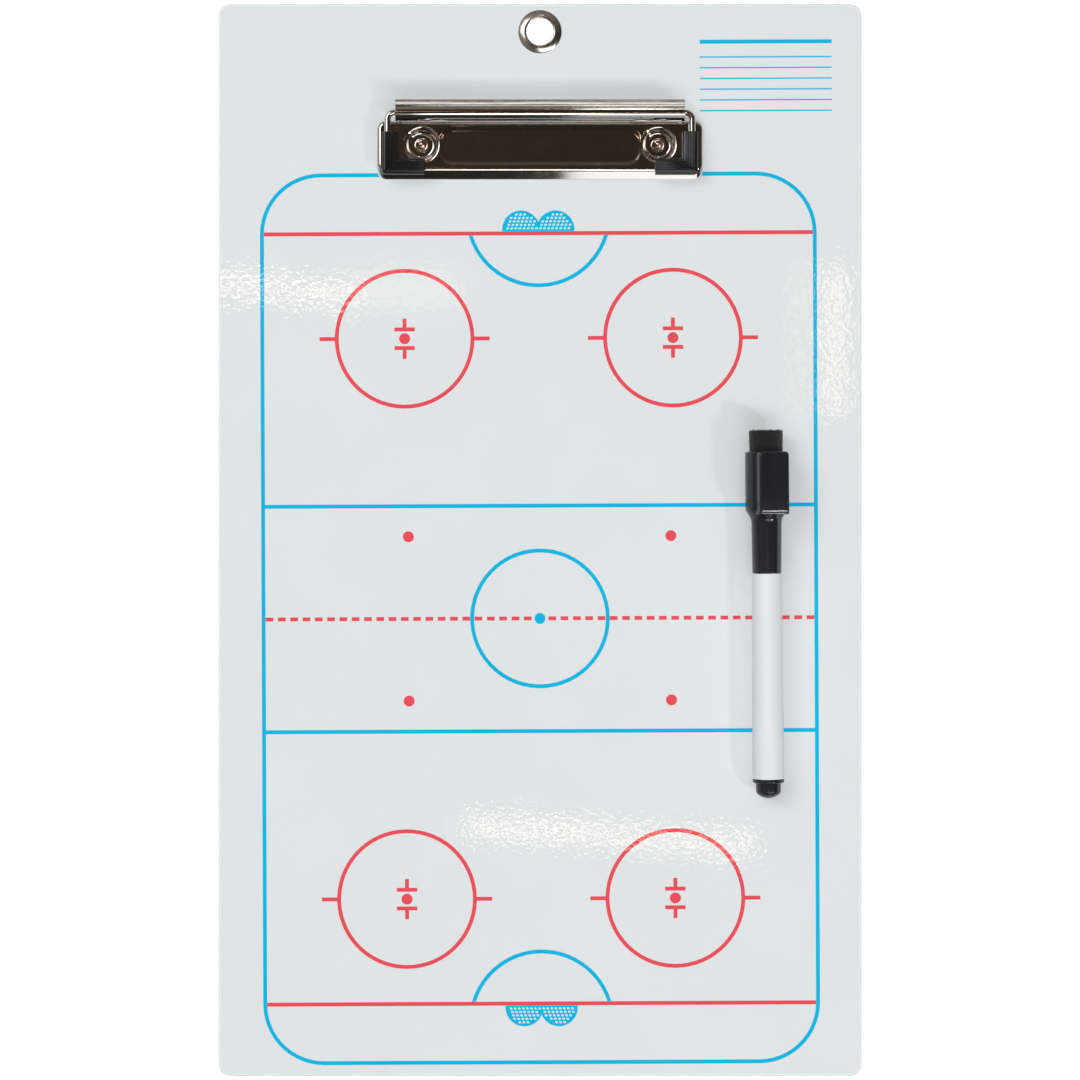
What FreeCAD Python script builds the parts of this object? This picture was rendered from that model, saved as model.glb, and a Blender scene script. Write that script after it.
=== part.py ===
import FreeCAD, Part
import math
import os

# A coach's rink tactics board: a laminated rigid sheet with a printed rink, a hanging eyelet,
# a sprung bail clip for paper and a capped dry-wipe marker that lies on the writing face.
# Millimetres. X runs across the board, Y towards the eyelet, Z out of the writing face.

# Board sheet
BOARD_WIDTH = 240.0
BOARD_LENGTH = 400.0
BOARD_CORNER = 4.5
CORE_THICKNESS = 2.6
FILM_THICKNESS = 0.2
EDGE_ROUND = 0.9
FILM_SETBACK = 0.15

# Hanging eyelet
EYELET_FROM_TOP = 10.6
EYELET_BORE = 10.1
EYELET_WALL = 0.5
EYELET_FLANGE_WIDTH = 2.65
EYELET_DOME = 1.1
EYELET_CREST_WIDTH = 0.95
EYELET_LIP = 0.4
EYELET_LIP_WIDTH = 0.9
EYELET_ROUND = 0.3
WASHER_THICKNESS = 0.45
WASHER_WIDTH = 2.4
SHANK_CLEARANCE = 0.1

# Printed rink
LINE_WIDTH = 1.45
INK_THICKNESS = 0.05
RINK_SIDE_MARGIN = 17.0
RINK_FOOT_MARGIN = 5.4
RINK_HEAD_MARGIN = 63.8
RINK_CORNER = 22.0
GOAL_LINE_SETBACK = 21.9
ZONE_LINE_OFFSET = 42.0
DASH_LENGTH = 2.87
DASH_PITCH = 4.58
CIRCLE_RADIUS = 25.3
DOT_DIAMETER = 4.1
FACEOFF_X = 50.0
FACEOFF_FROM_GOAL = 39.1
NEUTRAL_DOT_X = 48.9
NEUTRAL_DOT_Y = 30.6
MARK_BAR_LENGTH = 7.6
MARK_BAR_OFFSET = 3.47
MARK_TICK_REACH = 7.5
SIDE_TICK_REACH = 31.7
CREASE_RADIUS = 26.4
CREASE_CENTRE_BACK = 7.0
NET_LOBE_RADIUS = 7.0
NET_LOBE_X = 6.45
NET_DEPTH = 8.5
NET_BORDER = 0.35
NET_PITCH = 1.52
NET_ROW_PITCH = 1.29
NET_ROW_LEAN = 0.43
NET_FIRST_ROW = 1.84
NET_HOLE_WIDTH = 0.85
NET_HOLE_HEIGHT = 0.75
NOTE_RULES = 6
NOTE_PITCH = 4.0
NOTE_FROM_TOP = 20.3
NOTE_FROM_SIDE = 10.4
NOTE_LENGTH = 49.2
NOTE_WIDTH = 0.5
NOTE_HEAD_RISE = 5.7
PRINT_SKEW_ANGLE = 0.25

# Clip base plate
PLATE_FROM_TOP = 44.0
PLATE_LENGTH = 121.2
PLATE_DEPTH = 21.6
PLATE_HEIGHT = 3.0
PLATE_SHEET = 0.8
PLATE_CORNER = 3.2
PLATE_EDGE_ROUND = 1.5
PLATE_FRONT_REACH = 3.8
PLATE_FRONT_FALL = 2.7
PANEL_FROM_RIVET = 6.8
PANEL_DEPTH = 13.0
PANEL_SINK = 0.55
PANEL_CORNER = 4.6
PANEL_WALL_RUN = 1.2
PANEL_ROUND = 1.3
PANEL_SHIFT = -0.5
RIVET_FROM_END = 16.6
RIVET_FROM_REAR = 9.1
DISH_RADIUS = 5.6
DISH_FLOOR_RADIUS = 4.1
DISH_ROUND = 0.6

# Rivets
RIVET_SHANK = 4.0
RIVET_HOLE = 2.9
RIVET_ROLL = 5.6
RIVET_ROLL_HEIGHT = 0.6
RIVET_HEAD = 9.0
RIVET_HEAD_THICKNESS = 0.5
RIVET_HOLE_FLOOR = 1.0

# Bail wire, its hinge and the lever
WIRE_DIAMETER = 2.4
WIRE_BEND = 2.6
HINGE_BEHIND_PLATE = 2.6
PIVOT_CLEARANCE = 0.05
EAR_WALL = 1.1
HOOK_CLEARANCE = 0.3
LEVER_FROM_END = 7.0
LEVER_SHEET = 0.7
LEVER_FIT = 0.02
LEVER_EAR_GAP = 0.5
LIMB_GAP = 0.3
HOOK_START_ANGLE = 190.0
HOOK_END_ANGLE = 66.0
FLANGE_BEND = 1.15
FLANGE_ANGLE = 72.0
FLANGE_RUN = 2.1

# Grip sleeves on the bail's fingers
SLEEVE_WIDTH = 5.8
SLEEVE_HEIGHT = 4.7
SLEEVE_LEG = 15.8
SLEEVE_SETBACK = 1.1
SLEEVE_SHIFT = 0.8
SLEEVE_CORNER = 1.1
SLEEVE_PLAN_ROUND = 1.6
SLEEVE_RIBS = 6
SLEEVE_RIB_HEIGHT = 0.16
SLEEVE_END_WALL = 1.2
SLEEVE_FIT = 0.02
PAD_GAP = 0.05

# Torsion springs on the hinge bar
SPRING_WIRE = 0.8
SPRING_CLEARANCE = 0.35
SPRING_PITCH = 1.3
SPRING_QUARTERS = 17
SPRING_FROM_LEVER_END = 19.6
SPRING_REST_ANGLE = 300.0
SPRING_TIP = 0.9
SPRING_SEAT_GAP = 0.06

# Marker, lengths along its axis from the eraser end
MARKER_FROM_SIDE = 36.5
MARKER_HEAD_Y = 40.5
MARKER_YAW_ANGLE = 0.5
MARKER_ROLL_ANGLE = 17.0
MARKER_GAP = 0.05
ERASER_DIAMETER = 12.2
ERASER_SHOW = 7.8
ERASER_SOCKET = 6.0
ERASER_FIT = 0.05
HEAD_DIAMETER = 15.6
HEAD_LENGTH = 20.6
HEAD_ROUND = 0.8
TAPER_LENGTH = 5.0
CAP_DIAMETER = 11.2
CAP_MOUTH_DIAMETER = 10.7
CAP_SLEEVE_LENGTH = 19.3
CAP_FLOOR = 4.0
CAP_SEAT_GAP = 0.15
TONGUE_WIDTH = 11.7
TONGUE_OVERHANG = 2.6
TONGUE_FACE = 8.9
TONGUE_ROUND = 0.5
TONGUE_END_ROUND = 1.1
TONGUE_CORNER = 1.4
BARREL_LENGTH = 76.1
BARREL_FRONT_DIAMETER = 10.9
BARREL_REAR_DIAMETER = 11.8
BARREL_BORE = 9.1
PEN_FIT = 0.05
HOLDER_DIAMETER = 8.8
HOLDER_COLLAR = 17.0
HOLDER_CONE = 5.0
HOLDER_TIP_DIAMETER = 5.2
HOLDER_SPIGOT = 8.5
NIB_DIAMETER = 3.4
NIB_SHOW = 5.0
NIB_CONE = 2.4
NIB_POINT_DIAMETER = 1.4
PLUG_FLANGE_DIAMETER = 11.7
PLUG_FLANGE = 1.5
PLUG_KNOB_DIAMETER = 9.3
PLUG_KNOB = 5.8
PLUG_DOME = 2.2
PLUG_BEVEL = 0.5
PLUG_SPIGOT = 8.0
RESERVOIR_GAP = 0.2

# Levels through the board, from the lowest metal at the back
BACK = EYELET_LIP + WASHER_THICKNESS
CORE_BACK = BACK + FILM_THICKNESS
CORE_FRONT = CORE_BACK + CORE_THICKNESS
FACE = CORE_FRONT + FILM_THICKNESS
INK_TOP = FACE + INK_THICKNESS

# Places on the board
EYELET_Y = BOARD_LENGTH / 2 - EYELET_FROM_TOP
PLATE_REAR = BOARD_LENGTH / 2 - PLATE_FROM_TOP
PLATE_FRONT = PLATE_REAR - PLATE_DEPTH
PLATE_TOP = FACE + PLATE_HEIGHT
RIVET_X = PLATE_LENGTH / 2 - RIVET_FROM_END
RIVET_Y = PLATE_REAR - RIVET_FROM_REAR
RIVET_SEAT = FACE + PLATE_SHEET
PANEL_END = RIVET_X - PANEL_FROM_RIVET
PANEL_Y = RIVET_Y + PANEL_SHIFT

# Hinge bar and what turns about it
WIRE_RADIUS = WIRE_DIAMETER / 2
HINGE_Y = PLATE_REAR + HINGE_BEHIND_PLATE
HINGE_Z = PLATE_TOP + PAD_GAP + SLEEVE_HEIGHT / 2
EAR_RADIUS = WIRE_RADIUS + PIVOT_CLEARANCE + EAR_WALL
SPRING_RADIUS = WIRE_RADIUS + SPRING_CLEARANCE + SPRING_WIRE / 2
HOOK_INNER = max(EAR_RADIUS, SPRING_RADIUS + SPRING_WIRE / 2) + HOOK_CLEARANCE
HOOK_MIDDLE = HOOK_INNER + LEVER_SHEET / 2
LEVER_END = PLATE_LENGTH / 2 - LEVER_FROM_END
LEVER_LENGTH = 2 * LEVER_END
SPRING_X = LEVER_END - SPRING_FROM_LEVER_END
EAR_OUTER_X = LEVER_END - LEVER_SHEET - LEVER_EAR_GAP
LIMB_X = LEVER_END + LIMB_GAP + WIRE_BEND
SLEEVE_X = LIMB_X - SLEEVE_SHIFT
SLEEVE_OUTER_X = SLEEVE_X + SLEEVE_WIDTH / 2
SLEEVE_INNER_X = SLEEVE_OUTER_X - SLEEVE_LEG
SLEEVE_FRONT_Y = PLATE_FRONT + SLEEVE_SETBACK
FINGER_Y = SLEEVE_FRONT_Y + SLEEVE_WIDTH / 2
FINGER_END_X = SLEEVE_INNER_X + SLEEVE_END_WALL

# Stations along the marker
HEAD_END = ERASER_SHOW + HEAD_LENGTH
TAPER_END = HEAD_END + TAPER_LENGTH
CAP_END = TAPER_END + CAP_SLEEVE_LENGTH
BARREL_START = CAP_END + CAP_SEAT_GAP
BARREL_END = BARREL_START + BARREL_LENGTH
FLANGE_END = BARREL_END + PLUG_FLANGE
MARKER_END = FLANGE_END + PLUG_KNOB
SOCKET_FLOOR = ERASER_SHOW + ERASER_SOCKET
HOLDER_COLLAR_START = BARREL_START - HOLDER_COLLAR
HOLDER_TIP = HOLDER_COLLAR_START - HOLDER_CONE
HOLDER_END = BARREL_START + HOLDER_SPIGOT
NIB_TIP = HOLDER_TIP - NIB_SHOW
PLUG_SPIGOT_END = BARREL_END - PLUG_SPIGOT


def vec(x, y, z):
    return FreeCAD.Vector(x, y, z)


UP = vec(0, 0, 1)
ACROSS = vec(1, 0, 0)
QUARTER_TURN = math.pi / 2


def outline(place, start, steps):
    """Closed face through straight steps (a, b) and arcs (middle a, middle b, a, b)."""
    edges = []
    here = place(*start)
    for step in steps + [start]:
        there = place(*step[-2:])
        if len(step) == 4:
            edges.append(Part.Arc(here, place(*step[:2]), there).toShape())
        elif there.distanceToPoint(here) > 1e-9:
            edges.append(Part.LineSegment(here, there).toShape())
        here = there
    return Part.Face(Part.Wire(edges))


def arc_radius(reach, fall):
    """Radius of the arc that leaves level and falls by fall over reach."""
    return (reach * reach + fall * fall) / (2 * fall)


def turned(start, steps):
    """Solid of revolution about Z from a profile of (radius, height) steps."""
    profile = outline(lambda r, z: vec(r, 0, z), start, steps)
    return profile.revolve(vec(0, 0, 0), UP, 360)


def cylinder(diameter, low, high, x=0.0, y=0.0):
    return Part.makeCylinder(diameter / 2, high - low, vec(x, y, low))


def rounded_rectangle(x0, y0, x1, y1, radius, z):
    """Wire of a rectangle with round corners at height z."""
    centres = [
        (x1 - radius, y1 - radius), (x0 + radius, y1 - radius),
        (x0 + radius, y0 + radius), (x1 - radius, y0 + radius),
    ]
    edges = []
    for quarter, (x, y) in enumerate(centres):
        corner = Part.Circle(vec(x, y, z), UP, radius)
        edges.append(Part.ArcOfCircle(
            corner, quarter * QUARTER_TURN, (quarter + 1) * QUARTER_TURN
        ).toShape())
    loop = []
    for index, edge in enumerate(edges):
        following = edges[(index + 1) % len(edges)]
        loop.append(edge)
        loop.append(Part.LineSegment(edge.Vertexes[1].Point, following.Vertexes[0].Point).toShape())
    return Part.Wire(loop)


def slab(x0, y0, x1, y1, radius, low, high):
    face = Part.Face(rounded_rectangle(x0, y0, x1, y1, radius, low))
    return face.extrude(vec(0, 0, high - low))


def bent_path(points, radius):
    """Wire of straight runs joined by tangent arcs of one radius."""
    edges = []
    here = points[0]
    for before, corner, after in zip(points, points[1:], points[2:]):
        towards = (before - corner).normalize()
        away = (after - corner).normalize()
        half = towards.getAngle(away) / 2
        setback = radius / math.tan(half)
        bisector = (towards + away).normalize()
        middle = corner + bisector * (radius / math.sin(half) - radius)
        first = corner + towards * setback
        last = corner + away * setback
        edges.append(Part.LineSegment(here, first).toShape())
        edges.append(Part.Arc(first, middle, last).toShape())
        here = last
    edges.append(Part.LineSegment(here, points[-1]).toShape())
    return Part.Wire(edges)


def tube(path, diameter):
    """Round bar of one diameter along a wire."""
    first = path.OrderedEdges[0]
    start = path.OrderedVertexes[0].Point
    heading = first.tangentAt(first.FirstParameter)
    section = Part.Wire([Part.Circle(start, heading, diameter / 2).toShape()])
    return path.makePipeShell([section], True, False)


def sheet_face(start, heading, moves, thickness):
    """Face in the YZ plane of a bent strip: moves are ("run", length) and ("turn", degrees, radius)."""
    half = thickness / 2
    here = vec(0, start[0], start[1])
    angle = math.radians(heading)

    def ahead(a):
        return vec(0, math.cos(a), math.sin(a))

    def left(a):
        return vec(0, -math.sin(a), math.cos(a))

    left_side = []
    right_side = []
    tail = here - ahead(angle) * half
    left_start = here + left(angle) * half
    right_start = here - left(angle) * half
    for move in moves:
        if move[0] == "run":
            here = here + ahead(angle) * move[1]
            sides = [(here + left(angle) * half, None), (here - left(angle) * half, None)]
        else:
            turn = math.radians(move[1])
            sign = 1 if turn > 0 else -1
            centre = here + left(angle) * (sign * move[2])
            middle = angle + turn / 2
            angle += turn
            here = centre - left(angle) * (sign * move[2])
            sides = []
            for side in (1, -1):
                reach = sign * move[2] - side * half
                sides.append((centre - left(angle) * reach, centre - left(middle) * reach))
        left_side.append(sides[0])
        right_side.append(sides[1])
    tip = here + ahead(angle) * half

    edges = [Part.Arc(right_start, tail, left_start).toShape()]
    for point, side in ((left_start, left_side), (right_start, right_side)):
        for end, through in side:
            if through is None:
                edges.append(Part.LineSegment(point, end).toShape())
            else:
                edges.append(Part.Arc(point, through, end).toShape())
            point = end
    edges.append(Part.Arc(left_side[-1][0], tip, right_side[-1][0]).toShape())
    return Part.Face(Part.Wire(Part.__sortEdges__(edges)))


def mirrored(shape):
    return shape.mirror(vec(0, 0, 0), ACROSS)


def joined(shapes):
    return shapes[0].multiFuse(shapes[1:]).removeSplitter()


# Board sheet


def shank_holes(low, high):
    """Clearance holes for the eyelet barrel and the rivet shanks."""
    barrel = EYELET_BORE + 2 * EYELET_WALL + 2 * SHANK_CLEARANCE
    shank = RIVET_SHANK + 2 * SHANK_CLEARANCE
    holes = [cylinder(barrel, low, high, 0, EYELET_Y)]
    for side in (-1, 1):
        holes.append(cylinder(shank, low, high, side * RIVET_X, RIVET_Y))
    return holes


def board_layer(inset, low, high):
    half_width = BOARD_WIDTH / 2 - inset
    half_length = BOARD_LENGTH / 2 - inset
    layer = slab(-half_width, -half_length, half_width, half_length, BOARD_CORNER - inset, low, high)
    return layer.cut(shank_holes(low, high))


def board_core():
    layer = board_layer(0, CORE_BACK, CORE_FRONT)
    rims = []
    for edge in layer.Edges:
        box = edge.BoundBox
        level = box.ZLength < 1e-6
        at_side = max(abs(box.XMin), abs(box.XMax)) > BOARD_WIDTH / 2 - BOARD_CORNER - 1e-6
        at_end = max(abs(box.YMin), abs(box.YMax)) > BOARD_LENGTH / 2 - 1e-6
        if level and (at_side or at_end):
            rims.append(edge)
    return layer.makeFillet(EDGE_ROUND, rims)


def board_film(low):
    return board_layer(EDGE_ROUND + FILM_SETBACK, low, low + FILM_THICKNESS)


# Hanging eyelet


def grommet_eyelet():
    bore = EYELET_BORE / 2
    barrel = bore + EYELET_WALL
    flange = barrel + EYELET_FLANGE_WIDTH
    crest = bore + EYELET_CREST_WIDTH
    lip = barrel + EYELET_LIP_WIDTH
    shoulder = EYELET_DOME * 0.75
    shape = turned((bore, EYELET_ROUND), [
        (bore, FACE + EYELET_ROUND),
        (bore + (crest - bore) * 0.3, FACE + shoulder, crest, FACE + EYELET_DOME),
        (flange - (flange - crest) * 0.3, FACE + shoulder, flange, FACE),
        (barrel, FACE),
        (barrel, EYELET_LIP),
        (lip, EYELET_LIP),
        (lip, EYELET_ROUND),
        (lip - EYELET_ROUND * 0.3, EYELET_ROUND * 0.3, lip - EYELET_ROUND, 0),
        (bore + EYELET_ROUND, 0),
        (bore + EYELET_ROUND * 0.3, EYELET_ROUND * 0.3, bore, EYELET_ROUND),
    ])
    return shape.translated(vec(0, EYELET_Y, 0))


def grommet_washer():
    inner = EYELET_BORE + 2 * EYELET_WALL + 2 * SHANK_CLEARANCE
    outer = inner + 2 * WASHER_WIDTH
    ring = cylinder(outer, EYELET_LIP, BACK, 0, EYELET_Y)
    return ring.cut(cylinder(inner, EYELET_LIP, BACK, 0, EYELET_Y))


# Printed rink


RINK_X = BOARD_WIDTH / 2 - RINK_SIDE_MARGIN
RINK_FOOT = -BOARD_LENGTH / 2 + RINK_FOOT_MARGIN
RINK_HEAD = BOARD_LENGTH / 2 - RINK_HEAD_MARGIN
RINK_CENTRE = (RINK_FOOT + RINK_HEAD) / 2
GOAL_Y = (RINK_HEAD - RINK_FOOT) / 2 - GOAL_LINE_SETBACK
FACEOFF_Y = GOAL_Y - FACEOFF_FROM_GOAL
HALF_LINE = LINE_WIDTH / 2


def ink_bar(x0, y0, x1, y1):
    return Part.makeBox(x1 - x0, y1 - y0, INK_THICKNESS, vec(x0, RINK_CENTRE + y0, FACE))


def ink_dot(x, y):
    return cylinder(DOT_DIAMETER, FACE, INK_TOP, x, RINK_CENTRE + y)


def ink_ring(x, y, radius, width=LINE_WIDTH):
    outer = cylinder(2 * radius + width, FACE, INK_TOP, x, RINK_CENTRE + y)
    return outer.cut(cylinder(2 * radius - width, FACE, INK_TOP, x, RINK_CENTRE + y))


def rink_outline():
    loops = []
    for grow in (HALF_LINE, -HALF_LINE):
        loops.append(slab(
            -RINK_X - grow, RINK_FOOT - grow, RINK_X + grow, RINK_HEAD + grow,
            RINK_CORNER + grow, FACE, INK_TOP,
        ))
    return loops[0].cut(loops[1])


def goal_crease(end):
    """Arc in front of one goal line, cut off at the line."""
    ring = ink_ring(0, end * (GOAL_Y + CREASE_CENTRE_BACK), CREASE_RADIUS)
    reach = CREASE_RADIUS + LINE_WIDTH
    near = end * (GOAL_Y - HALF_LINE)
    far = end * (GOAL_Y + CREASE_CENTRE_BACK + reach)
    return ring.cut(ink_bar(-reach, min(near, far), reach, max(near, far)))


def net_mesh(end):
    """Leaning holes of one net's mesh, only those that keep a border inside the lobes."""
    half_width = NET_HOLE_WIDTH / 2
    half_height = NET_HOLE_HEIGHT / 2
    lean = NET_ROW_LEAN / NET_ROW_PITCH * half_height
    limit = NET_LOBE_RADIUS - NET_BORDER - math.hypot(half_width + lean, half_height)
    columns = int((NET_LOBE_X + NET_LOBE_RADIUS) / NET_PITCH)
    holes = []
    for row in range(int(NET_DEPTH / NET_ROW_PITCH)):
        depth = NET_FIRST_ROW + row * NET_ROW_PITCH
        for column in range(-2 * columns, columns + 1):
            x = (column + 0.5) * NET_PITCH + row * NET_ROW_LEAN
            rise = depth - (NET_DEPTH - NET_LOBE_RADIUS)
            if math.hypot(abs(x) - NET_LOBE_X, rise) > limit:
                continue
            y = RINK_CENTRE + end * (GOAL_Y + depth)
            corners = [
                vec(x - half_width - lean, y - end * half_height, FACE),
                vec(x + half_width - lean, y - end * half_height, FACE),
                vec(x + half_width + lean, y + end * half_height, FACE),
                vec(x - half_width + lean, y + end * half_height, FACE),
            ]
            loop = Part.makePolygon(corners + corners[:1])
            holes.append(Part.Face(loop).extrude(UP * INK_THICKNESS))
    return holes


def goal_net(end):
    """One net: two round lobes that stand on the goal line, filled with an open mesh."""
    rounds = []
    for side in (-1, 1):
        centre = RINK_CENTRE + end * (GOAL_Y + NET_DEPTH - NET_LOBE_RADIUS)
        rounds.append(cylinder(2 * NET_LOBE_RADIUS, FACE, INK_TOP, side * NET_LOBE_X, centre))
    reach = NET_LOBE_X + NET_LOBE_RADIUS
    near = end * (GOAL_Y + HALF_LINE)
    far = end * (GOAL_Y - NET_LOBE_RADIUS)
    behind = ink_bar(-reach, min(near, far), reach, max(near, far))
    return joined(rounds).cut([behind] + net_mesh(end))


def note_rules():
    """Bare ruled lines for notes at the top corner, under one heavier rule."""
    right = BOARD_WIDTH / 2 - NOTE_FROM_SIDE
    top = BOARD_LENGTH / 2 - NOTE_FROM_TOP - RINK_CENTRE
    rules = [(top + NOTE_HEAD_RISE, HALF_LINE)]
    for index in range(NOTE_RULES):
        rules.append((top - index * NOTE_PITCH, NOTE_WIDTH / 2))
    return [ink_bar(right - NOTE_LENGTH, y - half, right, y + half) for y, half in rules]


def clip_footprint():
    half = PLATE_LENGTH / 2
    return slab(-half, PLATE_FRONT, half, PLATE_REAR, PLATE_CORNER, FACE, INK_TOP)


def printed(strokes):
    """Strokes as they lie on the board: askew by the print's angle and left out under the clip."""
    askew = strokes.rotated(vec(0, RINK_CENTRE, 0), UP, PRINT_SKEW_ANGLE)
    return askew.cut(clip_footprint())


def blue_strokes():
    strokes = [rink_outline(), ink_ring(0, 0, CIRCLE_RADIUS), ink_dot(0, 0)] + note_rules()
    for end in (-1, 1):
        line = end * ZONE_LINE_OFFSET
        strokes.append(ink_bar(-RINK_X, line - HALF_LINE, RINK_X, line + HALF_LINE))
        strokes.append(goal_crease(end))
        strokes.append(goal_net(end))
    return joined(strokes)


def faceoff_marks(x, y):
    """Circle, dot, bars and ticks of one end zone spot."""
    strokes = [ink_ring(x, y, CIRCLE_RADIUS), ink_dot(x, y)]
    half_bar = MARK_BAR_LENGTH / 2
    for side in (-1, 1):
        bar_y = y + side * MARK_BAR_OFFSET
        strokes.append(ink_bar(x - half_bar, bar_y - HALF_LINE, x + half_bar, bar_y + HALF_LINE))
        low, high = sorted((bar_y, y + side * MARK_TICK_REACH))
        strokes.append(ink_bar(x - HALF_LINE, low, x + HALF_LINE, high))
        inner, outer = sorted((x + side * CIRCLE_RADIUS, x + side * SIDE_TICK_REACH))
        strokes.append(ink_bar(inner, y - HALF_LINE, outer, y + HALF_LINE))
    return strokes


def red_strokes(blue):
    strokes = []
    for end in (-1, 1):
        line = end * GOAL_Y
        strokes.append(ink_bar(-RINK_X, line - HALF_LINE, RINK_X, line + HALF_LINE))
        for side in (-1, 1):
            strokes.extend(faceoff_marks(side * FACEOFF_X, end * FACEOFF_Y))
            strokes.append(ink_dot(side * NEUTRAL_DOT_X, end * NEUTRAL_DOT_Y))
    reach = int(RINK_X / DASH_PITCH)
    for index in range(-reach, reach + 1):
        middle = index * DASH_PITCH
        strokes.append(ink_bar(middle - DASH_LENGTH / 2, -HALF_LINE, middle + DASH_LENGTH / 2, HALF_LINE))
    return joined(strokes).cut(blue)


# Clip


def rim_filleted(solid, height, radius):
    edges = [edge for edge in solid.Edges if edge.BoundBox.ZMin > height - 1e-6]
    return solid.makeFillet(radius, edges)


def front_roll(inset):
    """Block whose front rolls down to the board, inset for the sheet's underside."""
    top = PLATE_TOP - inset
    front = PLATE_FRONT + inset
    level = PLATE_FRONT + PLATE_FRONT_REACH
    radius = arc_radius(PLATE_FRONT_REACH, PLATE_FRONT_FALL) - inset
    sweep = math.asin((level - front) / radius)
    knee = [top - radius * (1 - math.cos(angle)) for angle in (sweep, sweep / 2)]
    profile = outline(lambda y, z: vec(-PLATE_LENGTH / 2, y, z), (front, FACE), [
        (front, knee[0]),
        (level - radius * math.sin(sweep / 2), knee[1], level, top),
        (PLATE_REAR, top),
        (PLATE_REAR, FACE),
    ])
    return profile.extrude(vec(PLATE_LENGTH, 0, 0))


def pan(inset):
    half = PLATE_LENGTH / 2 - inset
    top = PLATE_TOP - inset
    body = slab(-half, PLATE_FRONT + inset, half, PLATE_REAR - inset, PLATE_CORNER - inset, FACE, top)
    return rim_filleted(body, top, PLATE_EDGE_ROUND - inset).common(front_roll(inset))


def panel_press(offset):
    """Tapered block that sinks the middle panel, lowered by offset for the sheet's underside."""
    grow = offset * math.tan(math.atan2(PANEL_SINK, PANEL_WALL_RUN) / 2)
    floor = PLATE_TOP - PANEL_SINK - offset
    wires = []
    for run, z in ((-grow, PLATE_TOP - offset), (PANEL_WALL_RUN - grow, floor)):
        half_x = PANEL_END - run
        half_y = PANEL_DEPTH / 2 - run
        wires.append(rounded_rectangle(
            -half_x, PANEL_Y - half_y, half_x, PANEL_Y + half_y, PANEL_CORNER - run, z
        ))
    press = Part.makeLoft(wires, True, True)
    foot = [edge for edge in press.Edges if edge.BoundBox.ZMax < floor + 1e-6]
    return press.makeFillet(PANEL_ROUND, foot)


def dish_press(side, offset):
    """Cone that presses the plate down to the board round one rivet."""
    floor = max(RIVET_SEAT - offset, FACE)
    cone = Part.makeCone(
        DISH_FLOOR_RADIUS + offset, DISH_RADIUS + offset, PLATE_TOP - floor, vec(0, 0, floor)
    )
    return cone.translated(vec(side * RIVET_X, RIVET_Y, 0))


def rounded_recesses(plate):
    """Round the upper edges where the panel and the rivet dishes leave the plate's top."""
    dish_rims = []
    panel_rim = []
    for edge in plate.Edges:
        box = edge.BoundBox
        behind_front = box.YMin > PLATE_FRONT + PLATE_FRONT_REACH + 1e-6
        before_rear = box.YMax < PLATE_REAR - PLATE_EDGE_ROUND - 1e-6
        if box.ZMin < PLATE_TOP - 1e-6 or not (behind_front and before_rear):
            continue
        if abs(box.Center.x) > PANEL_END + 1e-6:
            dish_rims.append(edge)
        else:
            panel_rim.append(edge)
    return plate.makeFillet(DISH_ROUND, dish_rims).makeFillet(PANEL_ROUND, panel_rim)


def hinge_ear():
    """Lug that stands up from the plate's rear wall and carries the hinge bar."""
    wall = PLATE_REAR - PLATE_SHEET / 2
    slant = EAR_RADIUS * math.sqrt(0.5)
    lug = outline(lambda y, z: vec(EAR_OUTER_X, y, z), (wall, FACE + PLATE_SHEET / 2), [
        (HINGE_Y + slant, HINGE_Z - slant),
        (HINGE_Y - slant, HINGE_Z + slant),
        (wall, PLATE_TOP - PLATE_SHEET / 2),
    ]).extrude(vec(-PLATE_SHEET, 0, 0))
    boss = Part.makeCylinder(
        EAR_RADIUS, PLATE_SHEET, vec(EAR_OUTER_X - PLATE_SHEET, HINGE_Y, HINGE_Z), ACROSS
    )
    hole = Part.makeCylinder(
        WIRE_RADIUS + PIVOT_CLEARANCE, PLATE_SHEET, vec(EAR_OUTER_X - PLATE_SHEET, HINGE_Y, HINGE_Z), ACROSS
    )
    return lug.fuse(boss).cut(hole)


def clip_base_plate():
    presses = []
    undersides = []
    for side in (-1, 1):
        presses.append(dish_press(side, 0))
        undersides.append(dish_press(side, PLATE_SHEET))
    presses.append(panel_press(0))
    undersides.append(panel_press(PLATE_SHEET))
    hollow = pan(PLATE_SHEET).cut(undersides)
    plate = rounded_recesses(pan(0).cut(presses)).cut(hollow)
    ear = hinge_ear()
    plate = joined([plate, ear, mirrored(ear)])
    holes = []
    for side in (-1, 1):
        holes.append(cylinder(RIVET_SHANK + 2 * SHANK_CLEARANCE, FACE, PLATE_TOP, side * RIVET_X, RIVET_Y))
    return plate.cut(holes)


def rivet(side):
    hole = RIVET_HOLE / 2
    shank = RIVET_SHANK / 2
    roll = RIVET_ROLL / 2
    head = RIVET_HEAD / 2
    back = BACK - RIVET_HEAD_THICKNESS
    crest = RIVET_SEAT + RIVET_ROLL_HEIGHT
    mid_roll = (hole + roll) / 2
    shape = turned((0, back), [
        (head - RIVET_HEAD_THICKNESS, back),
        (head, BACK),
        (shank, BACK),
        (shank, RIVET_SEAT),
        (roll, RIVET_SEAT),
        (mid_roll, crest, hole, RIVET_SEAT),
        (hole, BACK + RIVET_HOLE_FLOOR),
        (0, BACK + RIVET_HOLE_FLOOR),
    ])
    return shape.translated(vec(side * RIVET_X, RIVET_Y, 0))


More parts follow.
